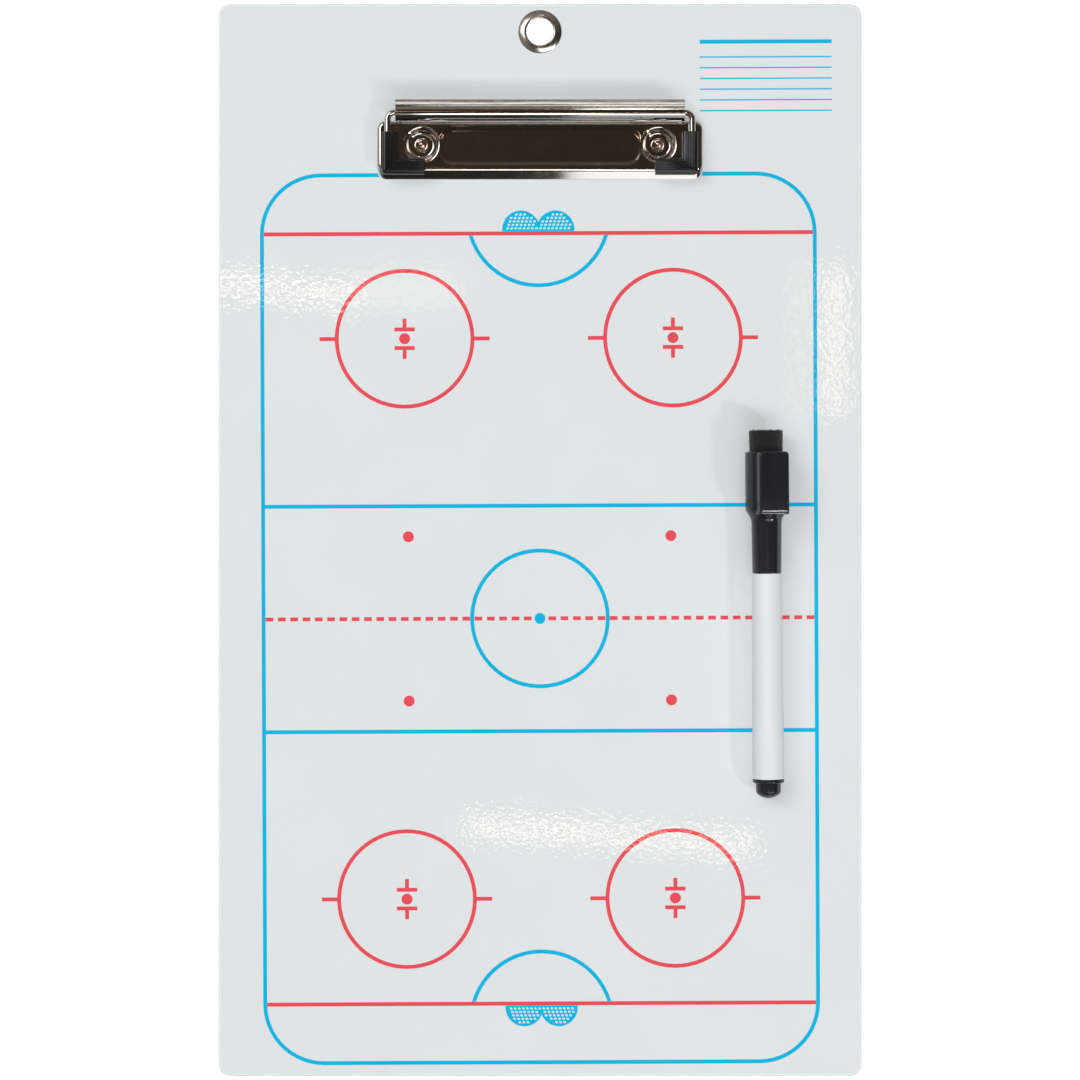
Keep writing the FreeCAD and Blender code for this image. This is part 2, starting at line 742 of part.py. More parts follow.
def clip_lever():
    start_angle = math.radians(HOOK_START_ANGLE)
    start = (HINGE_Y + HOOK_MIDDLE * math.cos(start_angle), HINGE_Z + HOOK_MIDDLE * math.sin(start_angle))
    strip = sheet_face(start, HOOK_START_ANGLE - 90, [
        ("turn", HOOK_END_ANGLE - HOOK_START_ANGLE, HOOK_MIDDLE),
        ("turn", FLANGE_ANGLE, FLANGE_BEND),
        ("run", FLANGE_RUN),
    ], LEVER_SHEET)
    channel = strip.translated(vec(-LEVER_END, 0, 0)).extrude(vec(LEVER_LENGTH, 0, 0))
    pieces = [channel]
    for x in (-LEVER_END, LEVER_END - LEVER_SHEET):
        pieces.append(Part.makeCylinder(
            HOOK_INNER + LEVER_SHEET / 2, LEVER_SHEET, vec(x, HINGE_Y, HINGE_Z), ACROSS
        ))
    hole = Part.makeCylinder(WIRE_RADIUS + LEVER_FIT, LEVER_LENGTH, vec(-LEVER_END, HINGE_Y, HINGE_Z), ACROSS)
    return joined(pieces).cut(hole)


def bail_path(x_end):
    """Route of the bail: finger, limb, hinge bar, limb, finger."""
    corners = [
        (-x_end, FINGER_Y), (-LIMB_X, FINGER_Y), (-LIMB_X, HINGE_Y),
        (LIMB_X, HINGE_Y), (LIMB_X, FINGER_Y), (x_end, FINGER_Y),
    ]
    return bent_path([vec(x, y, HINGE_Z) for x, y in corners], WIRE_BEND)


def bail_wire():
    return tube(bail_path(FINGER_END_X), WIRE_DIAMETER)


def sleeve_section():
    """Cross-section of a sleeve about its own middle: flat foot, round corners and a ribbed crown."""
    half = SLEEVE_WIDTH / 2
    low = -SLEEVE_HEIGHT / 2
    valley = SLEEVE_HEIGHT / 2 - SLEEVE_RIB_HEIGHT
    corner = SLEEVE_CORNER
    bulge = corner * (1 - math.sqrt(0.5))
    rib = 2 * (half - corner) / SLEEVE_RIBS
    steps = [(half - corner, low), (half - bulge, low + bulge, half, low + corner)]
    steps += [(half, valley - corner), (half - bulge, valley - bulge, half - corner, valley)]
    for index in range(SLEEVE_RIBS):
        right = half - corner - index * rib
        steps.append((right - rib / 2, valley + SLEEVE_RIB_HEIGHT, right - rib, valley))
    steps += [(-half + bulge, valley - bulge, -half, valley - corner)]
    steps += [(-half, low + corner), (-half + bulge, low + bulge, -half + corner, low)]
    return steps


def sleeve_leg(along_y):
    start = (-SLEEVE_WIDTH / 2 + SLEEVE_CORNER, -SLEEVE_HEIGHT / 2)
    if along_y:
        face = outline(lambda a, z: vec(SLEEVE_X + a, SLEEVE_FRONT_Y, HINGE_Z + z), start, sleeve_section())
        return face.extrude(vec(0, SLEEVE_LEG, 0))
    face = outline(lambda a, z: vec(SLEEVE_INNER_X, FINGER_Y + a, HINGE_Z + z), start, sleeve_section())
    return face.extrude(vec(SLEEVE_LEG, 0, 0))


def mitre_wedge(along_y):
    """Prism on one side of the sleeve's corner diagonal."""
    margin = SLEEVE_WIDTH
    reach = SLEEVE_LEG + margin
    low = HINGE_Z - SLEEVE_HEIGHT
    tip = vec(SLEEVE_OUTER_X + margin, SLEEVE_FRONT_Y - margin, low)
    far = vec(SLEEVE_OUTER_X - reach, SLEEVE_FRONT_Y + reach, low)
    third = vec(tip.x, far.y, low) if along_y else vec(far.x, tip.y, low)
    return Part.Face(Part.makePolygon([tip, far, third, tip])).extrude(vec(0, 0, 2 * SLEEVE_HEIGHT))


def grip_sleeve():
    legs = [sleeve_leg(along_y).common(mitre_wedge(along_y)) for along_y in (True, False)]
    plan = slab(
        SLEEVE_INNER_X, SLEEVE_FRONT_Y, SLEEVE_OUTER_X, SLEEVE_FRONT_Y + SLEEVE_LEG,
        SLEEVE_PLAN_ROUND, HINGE_Z - SLEEVE_HEIGHT, HINGE_Z + SLEEVE_HEIGHT,
    )
    bore = tube(bail_path(FINGER_END_X), WIRE_DIAMETER + 2 * SLEEVE_FIT)
    return joined(legs).common(plan).cut(bore)


def spring_point(turned_by):
    """Point on the right spring's coil, a quarter turn per unit, from its seat leg."""
    angle = math.radians(SPRING_REST_ANGLE) + turned_by * math.pi / 2
    return vec(
        SPRING_X + turned_by * SPRING_PITCH / 4,
        HINGE_Y + SPRING_RADIUS * math.cos(angle),
        HINGE_Z + SPRING_RADIUS * math.sin(angle),
    )


def spring_heading(turned_by):
    angle = math.radians(SPRING_REST_ANGLE) + turned_by * math.pi / 2
    around = SPRING_RADIUS * math.pi / 2
    return vec(SPRING_PITCH / 4, -around * math.sin(angle), around * math.cos(angle)).normalize()


def biarc(start, leaving, end, arriving):
    """Two tangent arcs from start to end with the given headings."""
    chord = end - start
    both = leaving + arriving
    a = both.dot(both) - 4
    b = -2 * chord.dot(both)
    reach = (-b - math.sqrt(b * b - 4 * a * chord.dot(chord))) / (2 * a)
    knees = [start + leaving * reach, end - arriving * reach]
    middle = (knees[0] + knees[1]) * 0.5
    edges = []
    for first, knee, last in ((start, knees[0], middle), (middle, knees[1], end)):
        centre = (first + last) * 0.5
        half_chord = first.distanceToPoint(last) / 2
        rise = knee - centre
        quarter = math.atan2(rise.Length, half_chord) / 2
        crown = centre + rise.normalize() * (half_chord * math.tan(quarter))
        edges.append(Part.Arc(first, crown, last).toShape())
    return edges


def spring_edges():
    """Seat leg against the plate's rear wall, the coil, and a straight tip under the hook."""
    first = spring_point(0)
    heading = spring_heading(0)
    seat_y = PLATE_REAR + SPRING_SEAT_GAP + SPRING_WIRE / 2
    leg = (first.y - seat_y) / heading.y
    edges = [Part.LineSegment(first - heading * leg, first).toShape()]
    for quarter in range(SPRING_QUARTERS):
        after = quarter + 1
        edges += biarc(
            spring_point(quarter), spring_heading(quarter), spring_point(after), spring_heading(after)
        )
    last = spring_point(SPRING_QUARTERS)
    edges.append(Part.LineSegment(last, last + spring_heading(SPRING_QUARTERS) * SPRING_TIP).toShape())
    return edges


def torsion_spring():
    return tube(Part.Wire(spring_edges()), SPRING_WIRE)


def spring_least_gap():
    """Least gap between neighbouring turns, measured on points of the coil."""
    steps = 24
    points = [spring_point(i / steps) for i in range(SPRING_QUARTERS * steps + 1)]
    apart = 3 * steps
    least = min(
        p.distanceToPoint(q) for i, p in enumerate(points) for q in points[i + apart:]
    )
    return least - SPRING_WIRE


# Marker, turned about Z with the eraser end at the origin


def marker_barrel():
    front = BARREL_FRONT_DIAMETER / 2
    rear = BARREL_REAR_DIAMETER / 2
    bore = BARREL_BORE / 2
    return turned((bore, BARREL_START), [(front, BARREL_START), (rear, BARREL_END), (bore, BARREL_END)])


def marker_end_plug():
    flange = PLUG_FLANGE_DIAMETER / 2
    knob = PLUG_KNOB_DIAMETER / 2
    spigot = BARREL_BORE / 2 - PEN_FIT
    ball = arc_radius(knob, PLUG_DOME)
    halfway = math.asin(knob / ball) / 2
    return turned((0, PLUG_SPIGOT_END), [
        (spigot, PLUG_SPIGOT_END),
        (spigot, BARREL_END),
        (flange, BARREL_END),
        (flange, FLANGE_END - PLUG_BEVEL),
        (flange - PLUG_BEVEL, FLANGE_END),
        (knob, FLANGE_END),
        (knob, MARKER_END - PLUG_DOME),
        (ball * math.sin(halfway), MARKER_END - ball * (1 - math.cos(halfway)), 0, MARKER_END),
    ])


def marker_ink_reservoir():
    radius = BARREL_BORE / 2 - RESERVOIR_GAP
    return cylinder(2 * radius, HOLDER_END + RESERVOIR_GAP, PLUG_SPIGOT_END - RESERVOIR_GAP)


def marker_nib_holder():
    collar = HOLDER_DIAMETER / 2
    spigot = BARREL_BORE / 2 - PEN_FIT
    bore = NIB_DIAMETER / 2 + PEN_FIT
    return turned((bore, HOLDER_TIP), [
        (HOLDER_TIP_DIAMETER / 2, HOLDER_TIP),
        (collar, HOLDER_COLLAR_START),
        (collar, BARREL_START),
        (spigot, BARREL_START),
        (spigot, HOLDER_END),
        (bore, HOLDER_END),
    ])


def marker_nib():
    radius = NIB_DIAMETER / 2
    point = NIB_POINT_DIAMETER / 2
    return turned((0, NIB_TIP), [
        (point, NIB_TIP),
        (radius, NIB_TIP + NIB_CONE),
        (radius, HOLDER_END),
        (0, HOLDER_END),
    ])


def cap_tongue():
    """Flat tongue on the cap's head, round at its free corners and more so at its lower end."""
    end = HEAD_END + TONGUE_OVERHANG
    tongue = Part.makeBox(
        TONGUE_FACE, TONGUE_WIDTH, end - ERASER_SHOW, vec(0, -TONGUE_WIDTH / 2, ERASER_SHOW)
    )
    corners = []
    for edge in tongue.Edges:
        box = edge.BoundBox
        if box.XLength > TONGUE_FACE / 2 and box.ZMax < ERASER_SHOW + 1e-6:
            corners.append(edge)
    tongue = tongue.makeFillet(TONGUE_CORNER, corners)
    lower = [edge for edge in face_rim(tongue) if edge.BoundBox.ZMin > end - 1e-6]
    tongue = tongue.makeFillet(TONGUE_END_ROUND, lower)
    sides = [edge for edge in face_rim(tongue) if edge.BoundBox.ZMin < end - TONGUE_END_ROUND - 1e-6]
    return tongue.makeFillet(TONGUE_ROUND, sides)


def face_rim(tongue):
    return [edge for edge in tongue.Edges if edge.BoundBox.XMin > TONGUE_FACE - 1e-6]


def marker_cap():
    head = HEAD_DIAMETER / 2
    waist = CAP_DIAMETER / 2
    mouth = CAP_MOUTH_DIAMETER / 2
    bulge = HEAD_ROUND * (1 - math.sqrt(0.5))
    body = turned((0, ERASER_SHOW), [
        (head - HEAD_ROUND, ERASER_SHOW),
        (head - bulge, ERASER_SHOW + bulge, head, ERASER_SHOW + HEAD_ROUND),
        (head, HEAD_END),
        (waist, TAPER_END),
        (mouth, CAP_END),
        (0, CAP_END),
    ])
    holder_bore = HOLDER_DIAMETER + 2 * PEN_FIT
    step = HOLDER_COLLAR_START - HOLDER_CONE / 2
    nib_bore = (holder_bore + HOLDER_TIP_DIAMETER) / 2
    hollows = [
        cylinder(ERASER_DIAMETER + 2 * ERASER_FIT, ERASER_SHOW, SOCKET_FLOOR),
        cylinder(nib_bore, SOCKET_FLOOR + CAP_FLOOR, step),
        cylinder(holder_bore, step, CAP_END),
    ]
    return joined([body, cap_tongue()]).cut(hollows)


def marker_eraser():
    radius = ERASER_DIAMETER / 2
    edge = ERASER_FIT * 10
    return turned((0, 0), [
        (radius - edge, 0),
        (radius, edge),
        (radius, SOCKET_FLOOR - ERASER_FIT),
        (0, SOCKET_FLOOR - ERASER_FIT),
    ])


def marker_placement():
    """The marker lies on its cap head and its plug flange, rolled so that the cap's tongue leans outwards."""
    rise = (HEAD_DIAMETER - PLUG_FLANGE_DIAMETER) / 2
    pitch = math.atan2(rise, FLANGE_END - HEAD_END)
    yaw = math.radians(MARKER_YAW_ANGLE)
    roll = math.radians(MARKER_ROLL_ANGLE)
    axis = vec(math.cos(pitch) * math.sin(yaw), -math.cos(pitch) * math.cos(yaw), -math.sin(pitch))
    side = axis.cross(UP).normalize() * -1
    lift = axis.cross(side).normalize()
    if lift.z < 0:
        lift = lift * -1
    tongue = lift * math.cos(roll) + side * math.sin(roll)
    turn = FreeCAD.Rotation(tongue, axis.cross(tongue), axis, "ZXY")
    height = INK_TOP + MARKER_GAP + HEAD_DIAMETER / 2 * math.cos(pitch) + HEAD_END * math.sin(pitch)
    return FreeCAD.Placement(vec(BOARD_WIDTH / 2 - MARKER_FROM_SIDE, MARKER_HEAD_Y, height), turn)


def build():
    """All pieces by node name."""
    blue = blue_strokes()
    sleeve = grip_sleeve()
    spring = torsion_spring()
    pieces = {
        "board_core": board_core(),
        "writing_film": board_film(CORE_FRONT),
        "back_film": board_film(BACK),
        "rink_lines_blue": printed(blue),
        "rink_lines_red": printed(red_strokes(blue)),
        "grommet_eyelet": grommet_eyelet(),
        "grommet_washer": grommet_washer(),
        "clip_base_plate": clip_base_plate(),
        "rivet_left": rivet(-1),
        "rivet_right": rivet(1),
        "torsion_spring_left": mirrored(spring),
        "torsion_spring_right": spring,
        "clip_lever": clip_lever(),
        "bail_wire": bail_wire(),
        "grip_sleeve_left": mirrored(sleeve),
        "grip_sleeve_right": sleeve,
    }
    marker = {
        "marker_barrel": marker_barrel(),
        "marker_end_plug": marker_end_plug(),
        "marker_ink_reservoir": marker_ink_reservoir(),
        "marker_nib_holder": marker_nib_holder(),
        "marker_nib": marker_nib(),
        "marker_cap": marker_cap(),
        "marker_eraser": marker_eraser(),
    }
    place = marker_placement()
    for name, shape in marker.items():
        shape.Placement = place
        pieces[name] = shape
    return pieces


os.makedirs("parts", exist_ok=True)
for name, shape in build().items():
    shape.exportStep("parts/" + name + ".step")
    print(name, "solids", len(shape.Solids), "valid", shape.isValid(), "volume", round(shape.Volume, 3))
print("least gap between spring turns", round(spring_least_gap(), 3))
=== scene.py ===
"""Looks of a coach's rink tactics board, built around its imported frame.

The sheet, its films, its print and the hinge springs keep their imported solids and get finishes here.
The eyelet, the paper clip with its grips and the marker are modelled again as finer meshes in the
same places, and everything is lit as a plain studio still seen from straight above.
"""

import logging
import math
import random
from dataclasses import dataclass
from enum import Enum
from typing import Any, Optional, Sequence, Union

import bmesh
import bpy
from mathutils import Matrix, Quaternion, Vector, noise


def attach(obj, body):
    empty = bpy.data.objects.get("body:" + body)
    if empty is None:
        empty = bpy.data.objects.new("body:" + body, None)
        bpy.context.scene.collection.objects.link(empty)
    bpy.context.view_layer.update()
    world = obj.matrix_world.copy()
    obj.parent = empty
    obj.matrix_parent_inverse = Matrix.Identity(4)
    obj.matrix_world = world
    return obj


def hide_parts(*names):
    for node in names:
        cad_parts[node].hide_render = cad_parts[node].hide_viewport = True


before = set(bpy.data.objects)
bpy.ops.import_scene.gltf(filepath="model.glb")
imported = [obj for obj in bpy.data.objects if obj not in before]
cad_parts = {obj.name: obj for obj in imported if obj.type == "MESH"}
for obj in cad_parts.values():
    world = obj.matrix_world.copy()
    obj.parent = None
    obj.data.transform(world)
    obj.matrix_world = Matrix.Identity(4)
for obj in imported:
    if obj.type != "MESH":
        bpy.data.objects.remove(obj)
LOG = logging.getLogger("tactics_board")

MM = 0.001
NEAR = 0.01 * MM
MERGE_DISTANCE = 1e-7
SHARP_ANGLE = math.radians(38.0)
FULL_TURN = 2 * math.pi
QUARTER_TURN = math.pi / 2
NOISE_MIDDLE = (0.3, 0.7)

Point = tuple[float, float]
Triple = tuple[float, float, float]
Mesh = bmesh.types.BMesh
Vert = bmesh.types.BMVert
Edge = bmesh.types.BMEdge
Piece = bpy.types.Object
Material = bpy.types.Material
Socket = bpy.types.NodeSocket
Sockets = dict[Any, Union[float, Sequence[float], Socket]]

COOL_WHITE: Triple = (0.95, 0.98, 1.0)
WARM_WHITE: Triple = (1.0, 0.76, 0.56)
EVEN: Triple = (1.0, 1.0, 1.0)


class Body(Enum):
    """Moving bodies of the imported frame."""

    BOARD = "board"
    JAW = "jaw"
    MARKER = "marker"
    CAP = "cap"


class Slot(Enum):
    """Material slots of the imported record."""

    CORE = "core"
    LAMINATE = "laminate"
    BLUE_INK = "blue_ink"
    RED_INK = "red_ink"
    NICKEL = "nickel"
    CLIP_CHROME = "clip_chrome"
    RIVET_METAL = "rivet_metal"
    SPRING_STEEL = "spring_steel"
    SLEEVE_PLASTIC = "sleeve_plastic"
    BARREL_PLASTIC = "barrel_plastic"
    MARKER_BLACK = "marker_black"
    FELT = "felt"
    FIBRE = "fibre"


class Side(Enum):
    """Left and right copies of a clip piece, by the sign of X."""

    LEFT = -1
    RIGHT = 1


@dataclass
class ShaderGraph:
    """The node tree of a material or a world, with short calls that add and link nodes."""

    owner: Union[Material, bpy.types.World]

    def __post_init__(self) -> None:
        """Start an empty tree."""
        self.owner.use_nodes = True
        self.tree = self.owner.node_tree
        self.tree.nodes.clear()

    def add(self, kind: str, sockets: Sockets, **settings: str) -> bpy.types.Node:
        """Add one node and fill its sockets.

        Args:
            kind: Blender's type name of the node.
            sockets: Values or links for the node's inputs by name or number.
            **settings: Plain properties of the node.

        Returns:
            The new node.
        """
        node = self.tree.nodes.new(kind)
        for key, value in settings.items():
            setattr(node, key, value)
        for key, value in sockets.items():
            if isinstance(value, Socket):
                self.tree.links.new(value, node.inputs[key])
            else:
                node.inputs[key].default_value = value
        return node

    def place(self, stretch: Triple = EVEN) -> Socket:
        """Object coordinates, with a factor on each axis that is small along a grain."""
        where = self.add("ShaderNodeTexCoord", {}).outputs["Object"]
        return self.add("ShaderNodeMapping", {"Vector": where, "Scale": stretch}).outputs["Vector"]

    def grain(self, scale: float, detail: float, stretch: Triple = EVEN) -> Socket:
        """Noise by its cells per metre, its octaves and a factor on each axis."""
        sockets = {"Vector": self.place(stretch), "Scale": scale, "Detail": detail}
        return self.add("ShaderNodeTexNoise", sockets).outputs["Fac"]

    def remap(self, value: Socket, source: Point, target: Point) -> Socket:
        """A value taken from one range to another, and held within it."""
        ends = dict(zip(("From Min", "From Max", "To Min", "To Max"), (*source, *target)))
        return self.add("ShaderNodeMapRange", {"Value": value, **ends}).outputs["Result"]

    def worn(self, pattern: Socket, low: float, wear: float) -> Socket:
        """Roughness that a noise pattern raises from a low value by some wear."""
        return self.remap(pattern, NOISE_MIDDLE, (low, low + wear))

    def ramp(self, value: Socket, stops: Sequence[tuple[float, Triple]]) -> Socket:
        """Colour a value.

        Args:
            value: The value to colour.
            stops: Position and colour of each stop, in order.

        Returns:
            The socket of the colour.
        """
        node = self.add("ShaderNodeValToRGB", {"Fac": value})
        elements = node.color_ramp.elements
        for element, (position, colour) in zip(elements, (stops[0], stops[-1])):
            element.position = position
            element.color = (*colour, 1.0)
        for position, colour in stops[1:-1]:
            elements.new(position).color = (*colour, 1.0)
        return node.outputs["Color"]

    def tint(self, pattern: Socket, colour: Triple, dark: float, light: float = 1.0) -> Socket:
        """A noise pattern run through two shades of a colour."""
        shades = [tuple(part * factor for part in colour) for factor in (dark, light)]
        return self.ramp(pattern, list(zip(NOISE_MIDDLE, shades)))

    def bump(self, pattern: Socket, depth: float, under: Optional[Socket] = None) -> Socket:
        """Turn a pattern into surface relief.

        Args:
            pattern: The height value.
            depth: Height in metres of a full step of the pattern.
            under: Normal of a coarser relief below this one.

        Returns:
            The socket of the bumped normal.
        """
        sockets: Sockets = {"Height": pattern, "Distance": depth, "Strength": 1.0}
        if under is not None:
            sockets["Normal"] = under
        return self.add("ShaderNodeBump", sockets).outputs["Normal"]

    def finish(self, sockets: Sockets) -> Material:
        """Close the tree with a surface shader and give the material."""
        surface = self.add("ShaderNodeBsdfPrincipled", sockets).outputs["BSDF"]
        return self.close(surface, "ShaderNodeOutputMaterial")

    def close(self, shader: Socket, output: str) -> Union[Material, bpy.types.World]:
        """Send a shader to the tree's output and give the tree's owner."""
        self.add(output, {"Surface": shader})
        return self.owner


@dataclass(frozen=True)
class GlossFilm:
    """Gloss film, plain or over print, with the orange-peel surface that breaks up reflections."""

    name: str
    colour: Triple
    drift: float = 0.02
    peel_scale: float = 680.0
    peel_detail: float = 0.6
    peel_depth: float = 1.55e-5
    roughness: float = 0.02
    wear: float = 0.015

    def material(self) -> Material:
        """Build the film's material."""
        graph = ShaderGraph(bpy.data.materials.new(self.name))
        return graph.finish({
            "Base Color": graph.tint(graph.grain(28.0, 3.0), self.colour, 1 - self.drift),
            "Roughness": graph.worn(graph.grain(90.0, 4.0), self.roughness, self.wear),
            "Normal": graph.bump(graph.grain(self.peel_scale, self.peel_detail), self.peel_depth),
        })


@dataclass(frozen=True)
class BrightMetal:
    """Plated or bare metal with faint drawing lines and handling haze."""

    name: str
    colour: Triple
    roughness: float
    haze: float = 0.05
    shade: float = 0.93
    wave_scale: float = 75.0
    wave_depth: float = 4e-5
    wave_stretch: Triple = (0.5, 1.0, 1.0)
    line_scale: float = 900.0
    line_depth: float = 4e-7
    line_stretch: Triple = (0.03, 1.0, 1.0)

    def material(self) -> Material:
        """Build the metal's material.

        Returns:
            The material.
        """
        graph = ShaderGraph(bpy.data.materials.new(self.name))
        cloud = graph.grain(160.0, 4.0)
        waves = graph.bump(graph.grain(self.wave_scale, 1.0, self.wave_stretch), self.wave_depth)
        lines = graph.grain(self.line_scale, 2.0, self.line_stretch)
        return graph.finish({
            "Base Color": graph.tint(cloud, self.colour, self.shade),
            "Metallic": 1.0,
            "Roughness": graph.worn(cloud, self.roughness, self.haze),
            "Normal": graph.bump(lines, self.line_depth, waves),
        })


@dataclass(frozen=True)
class MouldedPlastic:
    """Moulded plastic with slight flow shade and a fine mould texture."""

    name: str
    colour: Triple
    roughness: float
    drift: float = 0.08
    wear: float = 0.03
    flow_stretch: Triple = (1.0, 0.35, 1.0)
    texture_scale: float = 1400.0
    texture_depth: float = 3e-6

    def material(self) -> Material:
        """Build the plastic's material.

        Returns:
            The material.
        """
        graph = ShaderGraph(bpy.data.materials.new(self.name))
        flow = graph.grain(120.0, 3.0, self.flow_stretch)
        return graph.finish({
            "Base Color": graph.tint(flow, self.colour, 1 - self.drift),
            "Roughness": graph.worn(graph.grain(300.0, 4.0), self.roughness, self.wear),
            "Normal": graph.bump(graph.grain(self.texture_scale, 2.0), self.texture_depth),
        })


@dataclass(frozen=True)
class PressedFibre:
    """Felt or bonded fibre: dull, mottled and hairy."""

    name: str
    colour: Triple
    sheen: float
    tuft_scale: float = 1100.0
    tuft_depth: float = 1.5e-4
    hair_scale: float = 5200.0
    hair_depth: float = 6e-5
    hair_stretch: Triple = (1.0, 0.3, 1.0)

    def material(self) -> Material:
        """Build the fibre's material.

        Returns:
            The material.
        """
        graph = ShaderGraph(bpy.data.materials.new(self.name))
        tufts = graph.bump(graph.grain(self.tuft_scale, 3.0), self.tuft_depth)
        hairs = graph.grain(self.hair_scale, 4.0, self.hair_stretch)
        return graph.finish({
            "Base Color": graph.tint(graph.grain(1500.0, 5.0), self.colour, 0.55, 1.3),
            "Roughness": 0.95,
            "Specular IOR Level": 0.15,
            "Sheen Weight": self.sheen,
            "Sheen Roughness": 0.6,
            "Normal": graph.bump(hairs, self.hair_depth, tufts),
        })


FINISHES: dict[Slot, Union[GlossFilm, BrightMetal, MouldedPlastic, PressedFibre]] = {
    Slot.CORE: MouldedPlastic("core_white", (0.80, 0.81, 0.81), 0.42, drift=0.03),
    Slot.LAMINATE: GlossFilm("laminate_white", (0.748, 0.766, 0.771)),
    Slot.BLUE_INK: GlossFilm("ink_blue", (0.006, 0.47, 0.742), drift=0.05),
    Slot.RED_INK: GlossFilm("ink_red", (0.82, 0.083, 0.106), drift=0.05),
    Slot.NICKEL: BrightMetal("eyelet_nickel", (0.62, 0.57, 0.52), 0.2),
    Slot.CLIP_CHROME: BrightMetal("clip_chrome", (0.66, 0.61, 0.57), 0.05, haze=0.04),
    Slot.RIVET_METAL: BrightMetal("rivet_metal", (0.74, 0.56, 0.48), 0.16, wave_depth=1e-5),
    Slot.SPRING_STEEL: BrightMetal("spring_steel", (0.52, 0.51, 0.50), 0.28),
    Slot.SLEEVE_PLASTIC: MouldedPlastic(
        "sleeve_black", (0.012, 0.012, 0.014), 0.18, drift=0.25, texture_depth=4e-6,
    ),
    Slot.BARREL_PLASTIC: MouldedPlastic(
        "barrel_white", (0.745, 0.76, 0.78), 0.32, drift=0.01, texture_depth=8e-7,
    ),
    Slot.MARKER_BLACK: MouldedPlastic(
        "marker_black", (0.0152, 0.0145, 0.0185), 0.2, drift=0.2, texture_depth=1.5e-6,
    ),
    Slot.FELT: PressedFibre("eraser_felt", (0.014, 0.0125, 0.0125), 0.15),
    Slot.FIBRE: PressedFibre("ink_fibre", (0.05, 0.05, 0.06), 0.1),
}


def only(items: Sequence[Any], kind: type) -> list[Any]:
    """Items of one kind out of grown geometry."""
    return [item for item in items if isinstance(item, kind)]


def weld(mesh: Mesh) -> None:
    """Merge vertices that lie on one another."""
    bmesh.ops.remove_doubles(mesh, verts=mesh.verts[:], dist=MERGE_DISTANCE)


def face_out(mesh: Mesh) -> None:
    """Turn all faces outwards."""
    bmesh.ops.recalc_face_normals(mesh, faces=mesh.faces[:])


def fill_ends(mesh: Mesh) -> list[bmesh.types.BMFace]:
    """Close the open ends of a tube and give the new faces."""
    ends = [edge for edge in mesh.edges if edge.is_boundary]
    return bmesh.ops.holes_fill(mesh, edges=ends, sides=0)["faces"]


def moved(mesh: Mesh, matrix: Matrix) -> Mesh:
    """Apply a placement to a whole mesh and give it back."""
    bmesh.ops.transform(mesh, matrix=matrix, verts=mesh.verts[:])
    return mesh


def shift(x: float, y: float, z: float) -> Matrix:
    """Placement that moves by millimetres."""
    return Matrix.Translation(Vector((x, y, z)) * MM)


def sweep(
    mesh: Mesh, items: Sequence[Any], centre: Vector, axis: Vector, angle: float, steps: int
) -> list[Any]:
    """Turn geometry about an axis, merged after a full turn, and give what the turn ends in."""
    return bmesh.ops.spin(
        mesh, geom=items, cent=centre, axis=axis, dvec=(0, 0, 0), angle=angle, steps=steps,
        use_merge=angle == FULL_TURN, use_normal_flip=False, use_duplicate=False,
    )["geom_last"]


def bevel(mesh: Mesh, edges: Sequence[Edge], width: float, segments: int) -> None:
    """Round edges by a width in millimetres."""
    bmesh.ops.bevel(
        mesh, geom=edges, offset=width * MM, offset_type="OFFSET", segments=segments, profile=0.5,
        affect="EDGES", material=-1, clamp_overlap=True,
    )


def spun(
    profile: Sequence[Point], steps: int, rings: Sequence[Triple] = (), segments: int = 4,
    closed: bool = False,
) -> Mesh:
    """Turn a profile about Z.

    Args:
        profile: Points of (radius, height) in millimetres.
        steps: Faces round the full turn.
        rings: Radius, height and width of bevel of each edge ring to round, in millimetres.
        segments: Faces across each bevel.
        closed: Whether the last point joins the first.

    Returns:
        The turned mesh in metres, with merged seam and outward faces.
    """
    mesh = bmesh.new()
    points = [mesh.verts.new((radius * MM, 0.0, height * MM)) for radius, height in profile]
    for ends in zip(points, points[1:] + points[:closed]):
        mesh.edges.new(ends)
    sweep(mesh, mesh.verts[:] + mesh.edges[:], Vector(), Vector((0, 0, 1)), FULL_TURN, steps)
    weld(mesh)
    face_out(mesh)
    for radius, height, width in rings:
        ring = {
            vert for vert in mesh.verts
            if abs(vert.co.z - height * MM) < NEAR and abs(vert.co.xy.length - radius * MM) < NEAR
        }
        bevel(mesh, [edge for edge in mesh.edges if ring.issuperset(edge.verts)], width, segments)
    return mesh


def drawn_out(
    mesh: Mesh, rim: Sequence[Edge], notes: dict[Vert, Any]
) -> tuple[list[Edge], dict[Vert, Any]]:
    """Extrude a rim and hand the note of each of its vertices on to the copy.

    Args:
        mesh: The mesh that grows.
        rim: The rim's edges.
        notes: A note for each vertex of the rim.

    Returns:
        The edges of the new rim, and the notes of its vertices.
    """
    grown = bmesh.ops.extrude_edge_only(mesh, edges=rim)["geom"]
    passed = {}
    for vert in only(grown, Vert):
        ends = [edge.other_vert(vert) for edge in vert.link_edges]
        passed[vert] = next(notes[end] for end in ends if end in notes)
    return only(grown, Edge), passed


def modify(piece: Piece, kind: str, **settings: Any) -> None:
    """Add a modifier to a piece.

    Args:
        piece: The object.
        kind: Blender's type name of the modifier.
        **settings: The modifier's properties.
    """
    modifier = piece.modifiers.new(kind.lower(), kind)
    for key, value in settings.items():
        setattr(modifier, key, value)


